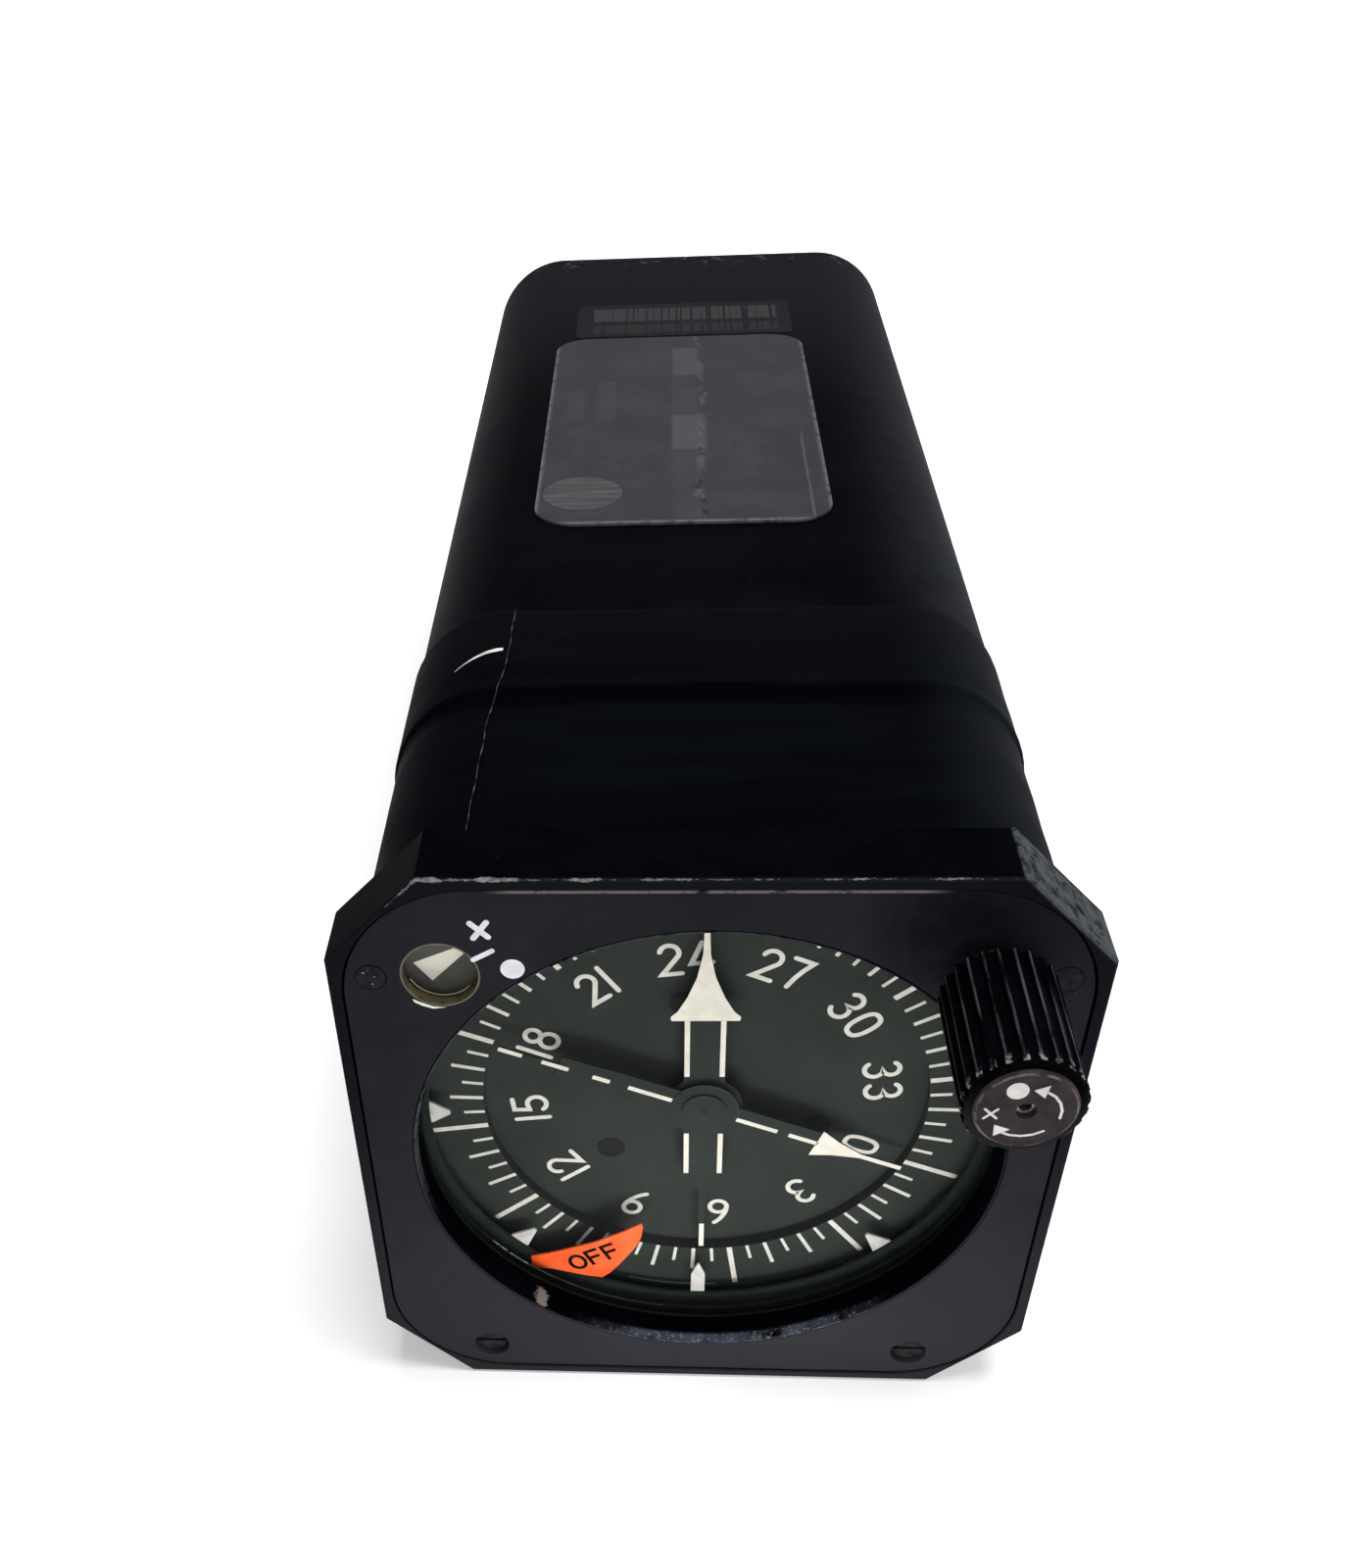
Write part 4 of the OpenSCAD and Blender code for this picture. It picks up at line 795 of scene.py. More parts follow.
# half a disc at the end of a stroke, from one of its corners round to the other
def roundCap(bm, end, first, last, half, lift):
    base = math.atan2(first.co.y - end.y, first.co.x - end.x)
    rim = [first]
    for k in range(1, strokeLook["capSteps"]):
        t = base + math.pi * k / strokeLook["capSteps"]
        rim.append(bm.verts.new((end.x + half * math.cos(t), end.y + half * math.sin(t), lift)))
    bm.faces.new(rim + [last])


def circle(x, z, r, sides):
    turns = [2 * math.pi * k / sides for k in range(sides)]
    return [(x + r * math.cos(t), z + r * math.sin(t)) for t in turns]


def arc(cx, cz, r, start, end, steps=14):
    turns = [math.radians(start + (end - start) * k / steps) for k in range(steps + 1)]
    return [(cx + r * math.cos(t), cz + r * math.sin(t)) for t in turns]


# part of a circle round the dial's axis, between two bearings clockwise from the top
def dialArc(r, start, end, steps):
    return arc(0, 0, r, 90 - end, 90 - start, steps)


def outline(bm, points):
    bm.faces.new([bm.verts.new((x, z, 0)) for x, z in points])


def dot(bm, x, z, r, sides=40):
    outline(bm, circle(x, z, r, sides))


def bar(bm, x, low, high, width):
    half = width / 2
    outline(bm, [(x - half, low), (x + half, low), (x + half, high), (x - half, high)])


# an arrow head that narrows to its tip, from its right-hand points
def arrowHead(bm, points):
    outline(bm, points + [(-x, z) for x, z in points[::-1]])


def meshPiece(name, bm, made, smooth=False):
    mesh = bpy.data.meshes.new(name)
    bm.to_mesh(mesh)
    bm.free()
    for polygon in mesh.polygons:
        polygon.use_smooth = smooth
    mesh.materials.append(made["material"])
    piece = bpy.data.objects.new(name, mesh)
    bpy.context.scene.collection.objects.link(piece)
    return piece


def thicken(piece, modifierName, thick, offset):
    coat = piece.modifiers.new(modifierName, "SOLIDIFY")
    coat.thickness, coat.offset = thick * mm, offset


coatShare = 0.9  # how much of its thickness a coat fills, so that its back doesn't lie in a surface


def paint(name, draw, made, body, atDepth, turn=0.0, centre=(0.0, 0.0), thick=0.03):
    bm = bmesh.new()
    draw(bm)
    spin = Matrix.Rotation(-math.radians(turn), 3, "Z")
    for v in bm.verts:
        p = spin @ v.co
        v.co = ((p.x + centre[0]) * mm, depth(atDepth) - (thick + v.co.z) * mm, (p.y + centre[1]) * mm)
    piece = meshPiece(name, bm, made)
    thicken(piece, "coat", thick * coatShare, -1)
    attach(piece, body)


# degree marks on the raised ring, clockwise from the value under the top index
scaleLook = {
    "top": 248.65, "step": 5, "inner": 27.11, "depth": 10.4,
    "short": {"reach": 29.71, "width": 0.42},
    "middle": {"reach": 31.23, "width": 0.5},
    "long": {"reach": 34.38, "width": 0.7},
}


# directions away from the axis and clockwise, where a value of the card stands
def spoke(value, lead=0.0):
    t = math.radians(value - scaleLook["top"] + lead)
    return Vector((math.sin(t), math.cos(t))), Vector((math.cos(t), -math.sin(t)))


def drawScale(bm):
    inner = scaleLook["inner"]
    for value in range(0, 360, scaleLook["step"]):
        mark = scaleLook["long" if value % 30 == 0 else "middle" if value % 10 == 0 else "short"]
        out, side = spoke(value)
        reach, half = mark["reach"], mark["width"] / 2
        corners = [(reach, half), (reach, -half), (inner, -half), (inner, half)]
        outline(bm, [out * r + side * w for r, w in corners])


paint("degreeMarks", drawScale, markMade, "card", scaleLook["depth"])

# numbers in tens of degrees, drawn as strokes with round ends
numberLook = {"radius": 21.6, "lead": 1.77, "stroke": 0.6, "gap": 0.68, "wide": 2.3, "depth": 12.0}
nought = {"half": (1.12, 2.1), "power": (0.72, 0.85), "sides": 40}  # squarer than an ellipse


def drawNought():
    (halfX, halfZ), (powerX, powerZ) = nought["half"], nought["power"]
    corners = circle(0, 0, 1, nought["sides"])
    return [(halfX * math.copysign(abs(x) ** powerX, x), halfZ * math.copysign(abs(z) ** powerZ, z))
            for x, z in corners]


# each stroke is its points, and whether it closes on itself
strokes = {
    "0": [(drawNought(), True)],
    "1": [([(0, -2.1), (0, 2.1)], False)],
    "2": [(arc(0, 1.0, 1.1, 168, -28) + [(-1.12, -2.1), (1.15, -2.1)], False)],
    "3": [(arc(-0.08, 1.08, 1.02, 148, -78) + arc(-0.05, -0.98, 1.12, 82, -148)[1:], False)],
    "4": [([(0.25, 2.1), (-1.25, -0.85), (1.2, -0.85)], False), ([(0.5, 0.35), (0.5, -2.1)], False)],
    "5": [([(1.0, 2.1), (-0.75, 2.1), (-0.92, 0.2)] + arc(-0.02, -0.86, 1.2, 132, -146)[1:], False)],
    "6": [
        (arc(0, -1.0, 1.1, 0, 360, 28)[:-1], True),
        ([(-1.05, -0.75), (-0.95, -0.2), (-0.72, 0.35), (-0.3, 1.0), (0.2, 1.6), (0.8, 2.08)], False),
    ],
    "7": [([(-1.15, 2.1), (1.12, 2.1), (0.45, 0.7), (0.0, -0.6), (-0.3, -2.1)], False)],
    "8": [(arc(0, 1.12, 0.95, 0, 360, 26)[:-1], True), (arc(0, -0.98, 1.13, 0, 360, 28)[:-1], True)],
}
strokes["9"] = [([(-x, -z) for x, z in line], closed) for line, closed in strokes["6"]]


def drawNumbers(bm):
    s = numberLook
    for value in range(0, 360, 30):
        text = str(value // 10)
        widths = [s["stroke"] if c == "1" else s["wide"] + s["stroke"] for c in text]
        left = -(sum(widths) + s["gap"] * (len(text) - 1)) / 2
        out, side = spoke(value, s["lead"])
        for c, w in zip(text, widths):
            middleX = left + w / 2
            left += w + s["gap"]
            for k, (line, closed) in enumerate(strokes[c]):
                placed = [out * (s["radius"] + z) + side * (middleX + x) for x, z in line]
                ribbon(bm, placed, s["stroke"], closed, lift=strokeLook["overlap"] * k)


paint("cardNumbers", drawNumbers, markMade, "card", numberLook["depth"])

# painted highlight: a light line on the card's rim
rimHighlightLook = {"radius": 34.45, "width": 0.12, "from": 176.0, "to": 195.5, "steps": 24}


def drawRimHighlight(bm):
    s = rimHighlightLook
    ribbon(bm, dialArc(s["radius"], s["from"], s["to"], s["steps"]), s["width"])


paint("rimHighlight", drawRimHighlight, toned("rimHighlightCream", cream, (0.20, 0.20, 0.13), (0.36, 0.35, 0.25)), "card",
      scaleLook["depth"])

# painted highlight: a light green line along the inner edge of the ring that holds the glass; and where that
# edge is scraped bright
clampLook = {
    "radius": 34.17, "width": 0.13, "depth": 6.05, "green": (188.0, 221.0), "steps": 40,
    "scrapes": [(221.5, 226.5), (227.6, 231.8)], "scrapeWidth": 0.208, "scrapeSteps": 12,
}


def drawClampHighlight(bm):
    s = clampLook
    ribbon(bm, dialArc(s["radius"], *s["green"], s["steps"]), s["width"])


def drawScrapes(bm):
    s = clampLook
    for start, end in s["scrapes"]:
        ribbon(bm, dialArc(s["radius"], start, end, s["scrapeSteps"]), s["scrapeWidth"])


clampHighlightMade = toned("edgeHighlightGreen", dialLook, (0.040, 0.050, 0.036), (0.085, 0.10, 0.075), patch=2.5)
# painted highlight along the ring's edge
paint("clampEdgeHighlight", drawClampHighlight, clampHighlightMade, "case", clampLook["depth"])
scrapeMade = toned("scrapeWhite", cream, (0.10, 0.11, 0.11), (0.34, 0.35, 0.36), patch=0.7)
paint("clampScrape", drawScrapes, scrapeMade, "case", clampLook["depth"])

# double-bar pointer's paint
doubleLook = {
    "depth": 9.85, "turn": -0.7, "aside": 2.1, "width": 0.62,
    "head": [
        (3.97, 13.9), (4.07, 14.5), (3.27, 15.3), (2.17, 17.4), (1.07, 20.4), (0.42, 23.8), (0.27, 28.58),
    ],
    "bars": [(5.0, 13.95), (-11.8, -4.7)], "tail": (-25.9, -21.5),
}


def drawDouble(bm):
    s = doubleLook
    arrowHead(bm, s["head"])
    for low, high in s["bars"]:
        for x in (-s["aside"], s["aside"]):
            bar(bm, x, low, high, s["width"])
    bar(bm, 0, *s["tail"], s["width"])


paint("doublePointerPaint", drawDouble, pointerMade, "double_pointer_set", doubleLook["depth"],
      doubleLook["turn"])

# single-bar pointer's paint: arrow head, dashes and a dashed tail
singleLook = {
    "depth": 9.25, "turn": 111.8, "width": 0.6,
    "head": [(2.2, 15.02), (1.18, 17.6), (0.32, 21.0), (0.32, 26.58)],
    "dashes": [(4.3, 9.75), (11.3, 15.2), (-9.9, -4.2), (-14.5, -12.3), (-21.0, -17.6), (-26.5, -23.5)],
}


def drawSingle(bm):
    arrowHead(bm, singleLook["head"])
    for low, high in singleLook["dashes"]:
        bar(bm, 0, low, high, singleLook["width"])


paint("singlePointerPaint", drawSingle, pointerMade, "single_pointer_set", singleLook["depth"],
      singleLook["turn"])

# flat disc round the hub, with a painted highlight on the upper right of its rim, and the centre point on
# the hub
hubLook = {
    "dark": (0.0258, 0.0312, 0.0282), "light": (0.0318, 0.0380, 0.0344),
    "radius": 4.2, "sides": 64, "depth": 9.25, "thick": 0.12,
    "wear": {
        # painted highlight on the upper right of the disc's rim
        "rim": {
            "zones": [("radius", 3.95, 4.12), ("diagonal", -1.0, 3.0)], "share": 0.55,
            "colour": (0.060, 0.068, 0.060), "rough": 0.5,
        },
    },
}
pointLook = {"radius": 0.22, "sides": 16, "depth": 8.9, "thick": 0.02}


def hubMeasures(tree, x, y, z):
    return {"radius": reachFrom(tree, x, z), "diagonal": plus(tree, x, z)}


def drawHubDisc(bm):
    dot(bm, 0.0, 0.0, hubLook["radius"], hubLook["sides"])


def drawHubPoint(bm):
    dot(bm, 0.0, 0.0, pointLook["radius"], pointLook["sides"])


hubMade = wornFinish("hubDiscGreen", {**dialLook, **hubLook}, hubMeasures)
paint("hubDisc", drawHubDisc, hubMade, "single_pointer_set", hubLook["depth"], thick=hubLook["thick"])
pointMade = toned("pointDark", dialLook, (0.006, 0.007, 0.006), (0.012, 0.014, 0.012))
paint("hubPoint", drawHubPoint, pointMade, "single_pointer_set", pointLook["depth"],
      thick=pointLook["thick"])

# word on the flag
flagLook = {
    "depth": 7.35, "tilt": -28.0, "centre": (-13.78, -25.5), "pitch": 2.52, "closer": 0.05,
    "height": 2.5, "foot": 0.2, "stroke": 0.50,
    "ring": 2.0, "ringSides": 32, "letter": 1.75, "middleBar": 0.9,  # a share of the letter's width
}


def drawFlagWord(bm):
    s = flagLook
    h, w, half = s["height"] / 2, s["ring"] / 2, s["letter"] / 2
    ribbon(bm, [(x * w - s["pitch"], z * h) for x, z in circle(0, 0, 1, s["ringSides"])], s["stroke"], True)
    for x in (s["closer"], s["pitch"] - s["closer"]):
        stem = [(x - half, -h - s["foot"]), (x - half, h), (x + half, h)]
        ribbon(bm, stem, s["stroke"], caps=False)
        across = [(x - half, 0.0), (x - half + s["letter"] * s["middleBar"], 0.0)]
        ribbon(bm, across, s["stroke"], caps=False, lift=strokeLook["overlap"])


paint("flagWord", drawFlagWord, inkMade, "flag", flagLook["depth"], flagLook["tilt"], flagLook["centre"])

# thick paint that fills the two upper screws, and bare spots where it has cracked on the left one
coatLook = {
    "places": [(-36.5, 28.2), (36.5, 28.2)], "radius": 1.62, "depth": 0.27, "chipDepth": 0.23,
    "chips": [(-0.75, 0.70, 0.15), (-0.25, 0.98, 0.08), (0.42, 0.15, 0.10), (0.10, -0.85, 0.13)],
    "chipSides": 10, "chipFlat": 0.7, "ragged": 0.5, "teeth": 3, "teethShift": 9,
}


def drawScrewCoat(bm):
    for x, z in coatLook["places"]:
        dot(bm, x, z, coatLook["radius"])


def drawScrewChips(bm):
    s = coatLook
    for x, z, r in s["chips"]:
        rim = []
        for k in range(s["chipSides"]):
            t = 2 * math.pi * k / s["chipSides"]
            wide = 1 + s["ragged"] * math.sin(s["teeth"] * k + s["teethShift"] * x)
            rim.append((x + r * wide * math.cos(t), z + r * s["chipFlat"] * math.sin(t)))
        outline(bm, rim)


coatMade = toned("screwCoat", panelLook, (0.009, 0.009, 0.012), (0.018, 0.0165, 0.019),
                 patch=1.1, grain=0.4, bump=0.8, relief=0.1)
paint("screwCoat", drawScrewCoat, coatMade, "case", coatLook["depth"])
chipMade = toned("coatChip", cream, (0.14, 0.135, 0.13), (0.24, 0.235, 0.23))
paint("screwChips", drawScrewChips, chipMade, "case", coatLook["chipDepth"], centre=coatLook["places"][0])

# marks on the panel beside the annunciator
panelMarks = {
    "depth": 0.25,
    "strokes": [
        ((-25.31, 35.54), (-23.49, 33.74), 0.66),
        ((-23.57, 35.67), (-25.04, 33.61), 0.66),
        ((-25.25, 30.72), (-23.20, 31.92), 0.6),
    ],
    "dot": (-21.16, 29.47, 1.3),
}


def drawPanelMarks(bm):
    for k, (a, b, width) in enumerate(panelMarks["strokes"]):
        ribbon(bm, [a, b], width, lift=strokeLook["overlap"] * k)
    dot(bm, *panelMarks["dot"])


paint("panelMarks", drawPanelMarks, whiteMade, "case", panelMarks["depth"])

# annunciator: wedge on the disc, brown wall of the opening, light crescent and a chipped rim
annunciatorLook = {
    "wedge": [(-3.2, -0.25), (-1.3, -2.75), (2.62, 1.25), (1.92, 2.0)], "wedgeDepth": 2.8,
    "chip": [
        (-2.32, -4.18), (-1.1, -4.61), (0.33, -4.40), (-1.05, -4.30),
        (-2.6, -3.62), (-3.25, -3.25), (-3.11, -3.67),
    ],
    "chipDepth": 0.25,
    "crescent": {"radius": 3.86, "width": 0.16, "from": 205, "to": 318, "steps": 24, "depth": 1.7},
    "wall": {"inner": 4.12, "outer": 4.33, "from": 0.32, "to": 1.68, "sides": 72, "sharp": 40},
}


def drawChip(bm):
    outline(bm, annunciatorLook["chip"])


def drawWedge(bm):
    outline(bm, annunciatorLook["wedge"])


def drawCrescent(bm):
    s = annunciatorLook["crescent"]
    ribbon(bm, arc(0, 0, s["radius"], s["from"], s["to"], s["steps"]), s["width"])


def tube(name, centre, s, made, body):
    bm = bmesh.new()
    near, far = s["from"], s["to"]
    rings = []
    for r, d in ((s["outer"], near), (s["inner"], near), (s["inner"], far), (s["outer"], far)):
        rings.append([bm.verts.new((x * mm, depth(d), z * mm)) for x, z in circle(*centre, r, s["sides"])])
    for a, b in zip(rings, rings[1:] + rings[:1]):
        for k in range(s["sides"]):
            after = (k + 1) % s["sides"]
            bm.faces.new((a[k], a[after], b[after], b[k]))
    bmesh.ops.recalc_face_normals(bm, faces=bm.faces)
    piece = meshPiece(name, bm, made, smooth=True)
    piece.data.set_sharp_from_angle(angle=math.radians(s["sharp"]))
    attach(piece, body)


paint("annunciatorChip", drawChip, markMade, "case", annunciatorLook["chipDepth"],
      centre=annunciatorAxis)
paint("annunciatorWedge", drawWedge, wedgeMade, "annunciator", annunciatorLook["wedgeDepth"],
      centre=annunciatorAxis)
crescentMade = toned("crescentCream", cream, (0.30, 0.27, 0.15), (0.42, 0.38, 0.24))
paint("annunciatorCrescent", drawCrescent, crescentMade, "case", annunciatorLook["crescent"]["depth"],
      centre=annunciatorAxis)
wallMade = finish("wallBrown", {
    "dark": (0.045, 0.036, 0.017), "light": (0.085, 0.070, 0.036), "rough": (0.25, 0.4),
    "patch": 1.4, "grain": 0.3, "bump": 0.3, "relief": 0.02,
})
tube("annunciatorWall", annunciatorAxis, annunciatorLook["wall"], wallMade, "case")

# signs on the knob's cap, and a black disc at the bottom of its screw hole, painted as shade
capMarks = {
    "depth": -19.6, "thick": 0.006, "stroke": 0.27, "overlap": 0.002,
    "dot": (-1.20, 2.63, 1.05), "cross": (-3.27, -0.37, 0.6),
    "arrows": [
        {
            "line": [(3.24, -0.87), (3.28, 0.1), (2.98, 1.08), (2.35, 1.95), (1.62, 2.45)],
            "head": [(1.73, 3.36), (0.27, 2.71), (1.43, 1.70)],
        },
        {
            "line": [(1.99, -2.61), (1.05, -3.12), (-0.01, -3.31), (-1.1, -3.2), (-1.8, -2.9)],
            "head": [(-2.64, -3.35), (-1.16, -2.45), (-2.73, -1.82)],
        },
    ],
}
# painted shade: a black disc at the bottom of the screw hole
holeShadeLook = {
    "dark": (0.0012, 0.0012, 0.0014), "light": (0.0030, 0.0030, 0.0032), "rough": (0.5, 0.7),
    "specular": 0.0, "patch": 0.5, "grain": 0.2, "bump": 0.3, "relief": 0.01,
    "radius": 0.60, "depth": -17.75, "thick": 0.02,
}


def drawCapMarks(bm):
    s = capMarks
    dot(bm, *s["dot"])
    x, z, h = s["cross"]
    ribbon(bm, [(x - h, z + h), (x + h, z - h)], s["stroke"])
    ribbon(bm, [(x - h, z - h), (x + h, z + h)], s["stroke"], lift=s["overlap"])
    for arrow in s["arrows"]:
        ribbon(bm, arrow["line"], s["stroke"])
        outline(bm, arrow["head"])


def drawScrewHoleShade(bm):
    dot(bm, 0.0, 0.0, holeShadeLook["radius"])


capInk = toned("capInk", cream, (0.60, 0.55, 0.54), (0.74, 0.69, 0.68))
paint("capMarks", drawCapMarks, capInk, "push_knob", capMarks["depth"],
      centre=knobAxis, thick=capMarks["thick"])
paint("screwHoleShade", drawScrewHoleShade, finish("holeShadeBlack", holeShadeLook), "push_knob", holeShadeLook["depth"],
      centre=knobAxis, thick=holeShadeLook["thick"])
print("marks painted")

# where the tape lies: it bridges the step between the neck and the cover
tapeBed = {
    "start": 10.1, "end": 62.0, "rows": 105,
    "half": (38.86, 39.26), "corner": (14.0, 14.4), "step": 41.45, "blend": 0.6,
}
tapeDepths = [tapeBed["start"] + (tapeBed["end"] - tapeBed["start"]) * k / (tapeBed["rows"] - 1)
              for k in range(tapeBed["rows"])]


def between(pair, t):
    return pair[0] + (pair[1] - pair[0]) * t


# a point on the tape: how far round from the top's middle, how far back, and how far off the surface
def onTape(reach, d, off, side=-1):
    s = tapeBed
    blend = max(0.0, min(1.0, (d - s["step"] + s["blend"]) / (2 * s["blend"])))
    blend = blend * blend * (3 - 2 * blend)
    half, corner = between(s["half"], blend) + off, between(s["corner"], blend) + off
    flat = half - corner
    turn = max(0.0, min(math.pi / 2, (reach - flat) / corner))
    x = min(reach, flat) + corner * math.sin(turn)
    z = flat + corner * math.cos(turn) - max(0.0, reach - flat - corner * math.pi / 2)
    return Vector((side * x * mm, depth(d), z * mm))


def gridPiece(name, rows, made, body, thick):
    bm = bmesh.new()
    grid = [[bm.verts.new(p) for p in row] for row in rows]
    for a, b in zip(grid, grid[1:]):
        for k in range(len(a) - 1):
            bm.faces.new((a[k], a[k + 1], b[k + 1], b[k]))
    piece = meshPiece(name, bm, made, smooth=True)
    thicken(piece, "skin", thick, 0)
    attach(piece, body)


# the wrap itself, with folds that run round the case, from the lap on the left down the right side
wrapLook = {
    "left": 27.0, "right": 96.0, "columns": 82, "thick": 0.03, "off": 0.07, "leastOff": 0.03, "edge": 0.8,
    "bridge": {"height": 0.15, "at": 41.9, "spread": 1.5},
    "crease": {"height": 0.05, "at": 40.9, "spread": 0.8, "lean": 0.02},
    "fold": {"height": 0.035, "back": 0.55, "sway": 1.2, "swayRound": 0.06, "round": 0.045, "lean": 0.11},
}


def hump(s, d):
    return s["height"] * math.exp(-((d - s["at"]) / s["spread"]) ** 2)


def wrapPoint(across, d):
    s = wrapLook
    f = s["fold"]
    swayed = d * f["back"] + f["sway"] * math.sin(across * f["swayRound"])
    fold = f["height"] * (1 + math.sin(swayed) * math.sin(across * f["round"] + d * f["lean"]))
    crease = hump(s["crease"], d - s["crease"]["lean"] * across)
    off = s["off"] + hump(s["bridge"], d) + fold - crease
    edge = min(1.0, min(d - tapeBed["start"], tapeBed["end"] - d) / s["edge"])
    return onTape(abs(across), d, max(s["leastOff"], off * edge), -1 if across < 0 else 1)


wrapAcross = [-wrapLook["left"] + (wrapLook["left"] + wrapLook["right"]) * j / (wrapLook["columns"] - 1)
              for j in range(wrapLook["columns"])]
wrapRows = [[wrapPoint(across, d) for across in wrapAcross] for d in tapeDepths]
gridPiece("tapeWrap", wrapRows, tapeMade, "case", wrapLook["thick"])

# the tape's loose end, which laps over itself on the left
lapLook = {
    "seam": ((10.1, -26.6), (36.0, -26.0), (48.0, -24.7), (62.0, -24.55)), "sway": (0.06, 0.8),
    "down": 68.6, "columns": 34, "crowding": 1.5, "lift": 0.20, "tuck": 0.75, "thick": 0.12,
    "ripple": {"height": 0.05, "back": 0.9, "lean": 0.25, "round": 0.6, "shift": 1.0, "fade": 9},
}


# how far round the seam lies, at a depth
def seamAt(d):
    pts = lapLook["seam"]
    swing, perMm = lapLook["sway"]
    for (d1, x1), (d2, x2) in zip(pts, pts[1:]):
        if d <= d2:
            return -between((x1, x2), (d - d1) / (d2 - d1)) + swing * math.sin(d * perMm)
    return -pts[-1][1]


def lapPoint(j, d):
    s = lapLook
    r = s["ripple"]
    t = j / (s["columns"] - 1)
    reach = between((seamAt(d), s["down"]), t ** s["crowding"])
    wave = math.sin(d * r["back"] + reach * r["lean"]) * math.sin(reach * r["round"] + r["shift"])
    ripple = r["height"] * wave * math.exp(-j / r["fade"])
    return onTape(reach, d, s["lift"] * (1 - s["tuck"] * t ** 2) + ripple)


lapRows = [[lapPoint(j, d) for j in range(lapLook["columns"])] for d in tapeDepths]
gridPiece("tapeEnd", lapRows, tapeMade, "case", lapLook["thick"])

# a thin lighter line along the seam
seamLook = {"half": 0.05, "swell": 0.045, "waves": (0.37, 1.9), "shift": 1.0, "lift": 0.28, "thick": 0.02}


def seamRow(d):
    s = seamLook
    half = s["half"] + s["swell"] * math.sin(d * s["waves"][0]) * math.sin(d * s["waves"][1] + s["shift"])
    return [onTape(seamAt(d) + half * w, d, s["lift"]) for w in (-1, 1)]


seamLineMade = toned("seamLighterLine", tapeLook, (0.020, 0.020, 0.022), (0.085, 0.085, 0.088), patch=2.0)
gridPiece("tapeSeam", [seamRow(d) for d in tapeDepths], seamLineMade, "case", seamLook["thick"])

# a tear that starts as a point and ends blunt
tearLook = {
    "reach": (31.6, 25.4), "depth": (48.4, 51.3), "rows": 19, "curve": 1.8, "width": 0.95, "taper": 0.8,
    "blunt": (0.93, 0.75), "across": (-1, -0.4, 0.4, 1), "lift": 0.30, "thick": 0.05,
}


def tearRow(t):
    s = tearLook
    reach, d = between(s["reach"], t), between(s["depth"], 1 - (1 - t) ** s["curve"])
    half = s["width"] / 2 * t ** s["taper"] * (1.0 if t < s["blunt"][0] else s["blunt"][1])
    return [onTape(reach, d + half * w, s["lift"]) for w in s["across"]]


tearMade = toned("tearWhite", cream, (0.42, 0.41, 0.38), (0.66, 0.65, 0.62), patch=0.8)
tearRows = [tearRow(k / (tearLook["rows"] - 1)) for k in range(tearLook["rows"])]
gridPiece("tapeTear", tearRows, tearMade, "case", tearLook["thick"])

# a plain round sticker on the data plate
stickerLook = {
    "dark": (0.034, 0.035, 0.038), "light": (0.070, 0.070, 0.072), "rough": (0.5, 0.68), "specular": 0.03,
    "patch": 1.1, "grain": 0.3, "bump": 0.4, "relief": 0.03, "stretch": (0.12, 1.1, 1),
    "centre": (-17.2, 99.0), "radius": 5.9, "sides": 64, "thick": 0.06,
}


def sticker():
    s = stickerLook
    bm = bmesh.new()
    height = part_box("data_plate")[1][2] + s["thick"] * mm
    rim = circle(*s["centre"], s["radius"], s["sides"])
    bm.faces.new([bm.verts.new((x * mm, depth(d), height)) for x, d in rim])
    piece = meshPiece("roundSticker", bm, finish("stickerFilm", s))
    thicken(piece, "coat", s["thick"] * coatShare, -1)
    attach(piece, "case")


sticker()
print("tape and sticker laid")

# floor, which the flange's lower edge and the case's rear edge stand on
floorLook = {
    "half": 6.0, "gap": 0.00002,  # in metres
    "slope": 2.4 / 206.0,  # the case's rear edge stands higher than the flange's lower edge
    "pale": 0.80, "darker": 0.985, "patch": 40.0, "cut": (0.3, 0.7), "rough": 0.85, "specular": 0.1,
    "glowCentre": (0.0, 90.0, -41.3), "glow": (110.0, 330.0, 0.24, 0.85),
}
skyLook = {"light": 0.34, "seen": 1.0}


# 1 where the camera, a reflection or clear glass sees the surface, so that only the background pales
def seenDirectly(tree):
    rays = node(tree, "ShaderNodeLightPath").outputs
    seen = maths(tree, "MAXIMUM", rays["Is Camera Ray"], rays["Is Glossy Ray"])
    return maths(tree, "MAXIMUM", seen, rays["Is Transmission Ray"])


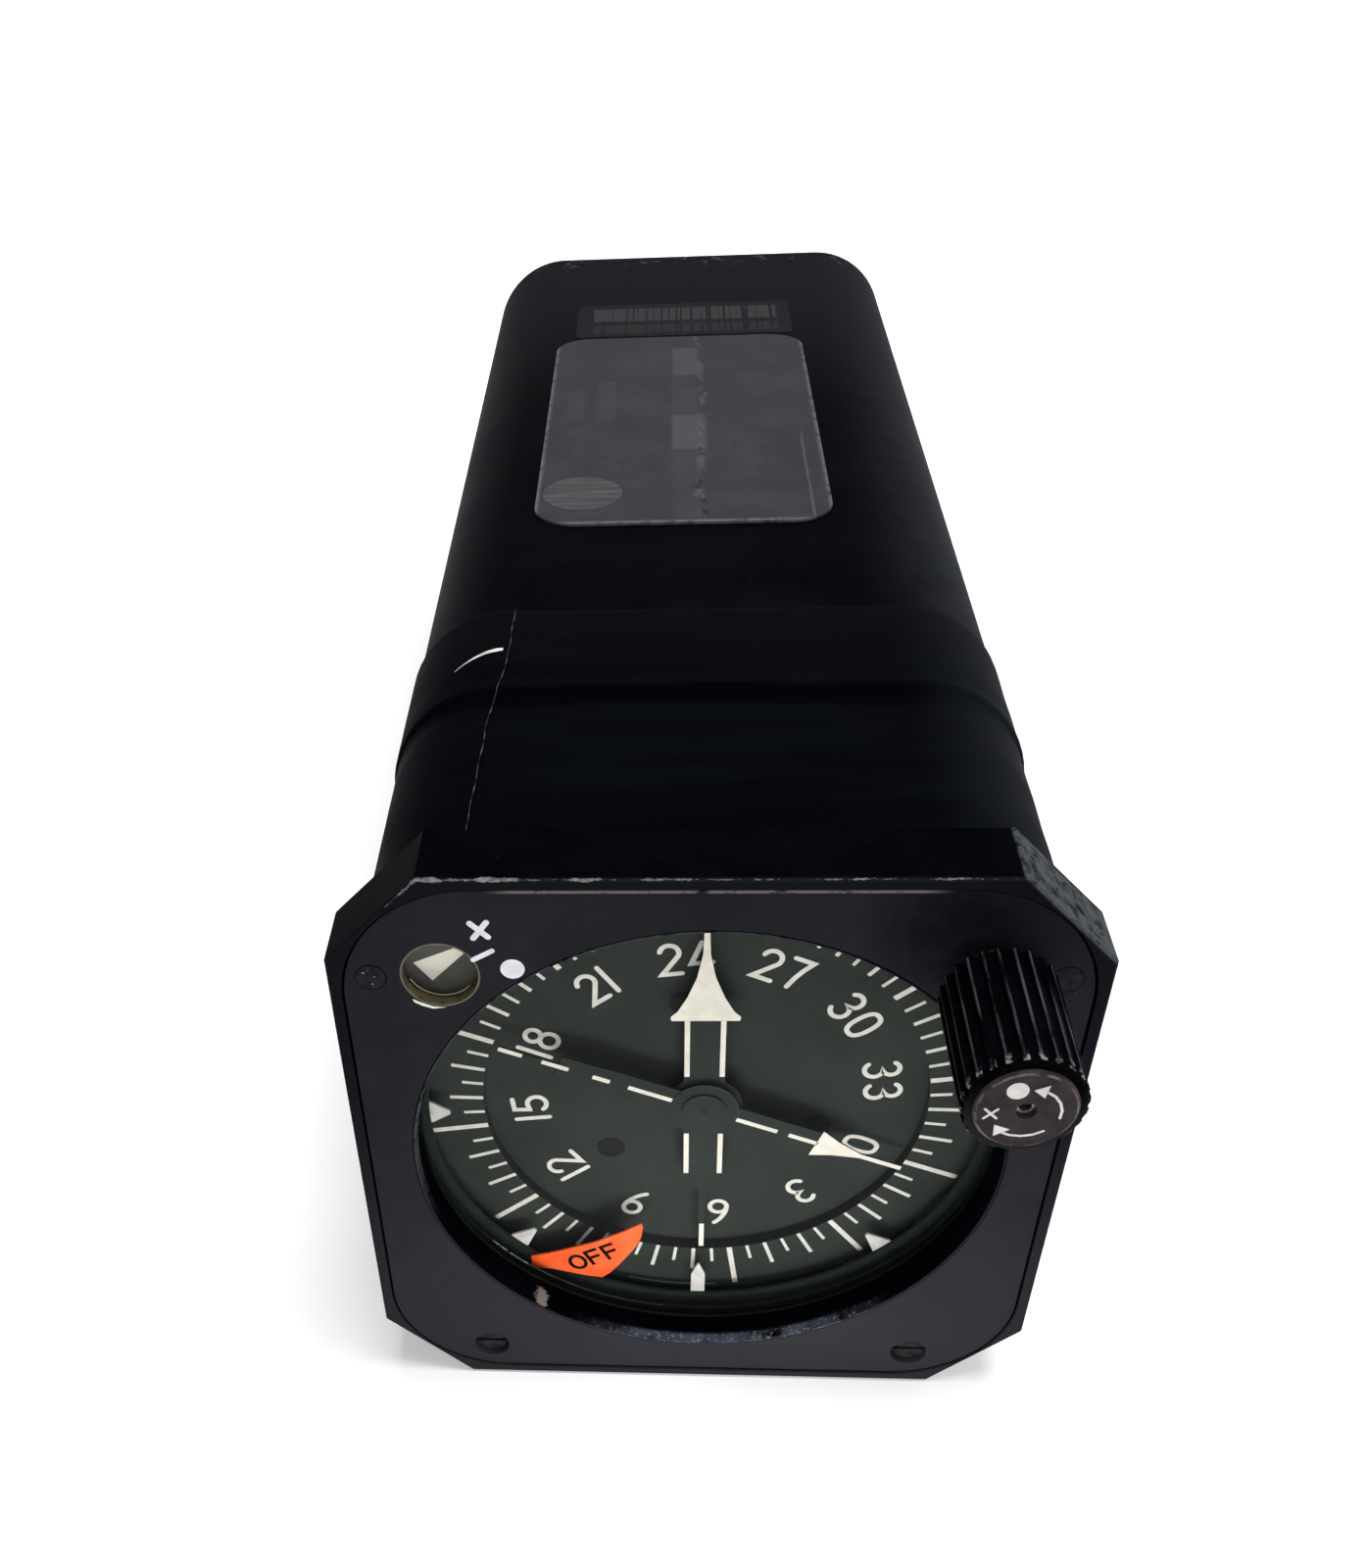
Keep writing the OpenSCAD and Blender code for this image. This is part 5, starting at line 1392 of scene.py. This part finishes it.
def paleFinish():
    s = floorLook
    material = bpy.data.materials.new("floorPale")
    material.use_nodes = True
    tree = material.node_tree
    body = tree.nodes["Principled BSDF"]
    body.inputs["Roughness"].default_value = s["rough"]
    body.inputs["Specular IOR Level"].default_value = s["specular"]
    body.inputs["Emission Color"].default_value = (1, 1, 1, 1)
    patches = ramp(tree, noise(tree, s["patch"]), *s["cut"])
    colour = shade(tree, patches, [s["pale"]] * 3, [s["pale"] * s["darker"]] * 3)
    tree.links.new(colour, body.inputs["Base Color"])
    glow = ramp(tree, distance(tree, s["glowCentre"]), *s["glow"])
    tree.links.new(times(tree, seenDirectly(tree), glow), body.inputs["Emission Strength"])
    return material


def layFloor():
    s = floorLook
    half, lowest = s["half"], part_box("bezel")[0][2] - s["gap"]
    corners = [(-half, -half), (half, -half), (half, half), (-half, half)]
    mesh = bpy.data.meshes.new("floor")
    mesh.from_pydata([(x, y, lowest + s["slope"] * y) for x, y in corners], [], [(0, 1, 2, 3)])
    mesh.materials.append(paleFinish())
    floorPiece = bpy.data.objects.new("floor", mesh)
    bpy.context.scene.collection.objects.link(floorPiece)


def lightSky():
    world = bpy.data.worlds.new("studio")
    bpy.context.scene.world = world
    world.use_nodes = True
    tree = world.node_tree
    background = tree.nodes["Background"]
    strength = ramp(tree, seenDirectly(tree), 0.0, 1.0, skyLook["light"], skyLook["seen"])
    tree.links.new(strength, background.inputs["Strength"])
    background.inputs["Color"].default_value = (1, 1, 1, 1)


layFloor()
lightSky()

# soft studio lamps, in metres and watts. The low one lights the bore's floor and isn't seen itself
lamps = {
    "over": {"place": (0.12, -0.02, 0.95), "aim": (0.02, -0.04, 0), "size": 0.5, "power": 9.5},
    "right": {"place": (0.85, 0.05, 0.45), "aim": (0, 0.08, 0), "size": 0.6, "power": 3.0},
    "front": {"place": (0.15, -0.85, 0.35), "aim": (0, 0, 0), "size": 0.5, "power": 1.5},
    "low": {
        "place": (0.006, -0.052, -0.0335), "aim": (0, 0.003, 0), "size": 0.055, "height": 0.010,
        "power": 0.030, "hidden": True,
    },
}
for name, s in lamps.items():
    lampData = bpy.data.lights.new(name, "AREA")
    lampData.size, lampData.energy = s["size"], s["power"]
    if "height" in s:
        lampData.shape, lampData.size_y = "RECTANGLE", s["height"]
    lamp = bpy.data.objects.new(name, lampData)
    lamp.location = s["place"]
    lamp.rotation_mode = "QUATERNION"
    lamp.rotation_quaternion = (Vector(s["aim"]) - Vector(s["place"])).to_track_quat("-Z", "Y")
    lamp.visible_camera = not s.get("hidden", False)
    lamp.visible_glossy = not s.get("hidden", False)
    bpy.context.scene.collection.objects.link(lamp)
print("studio lit")
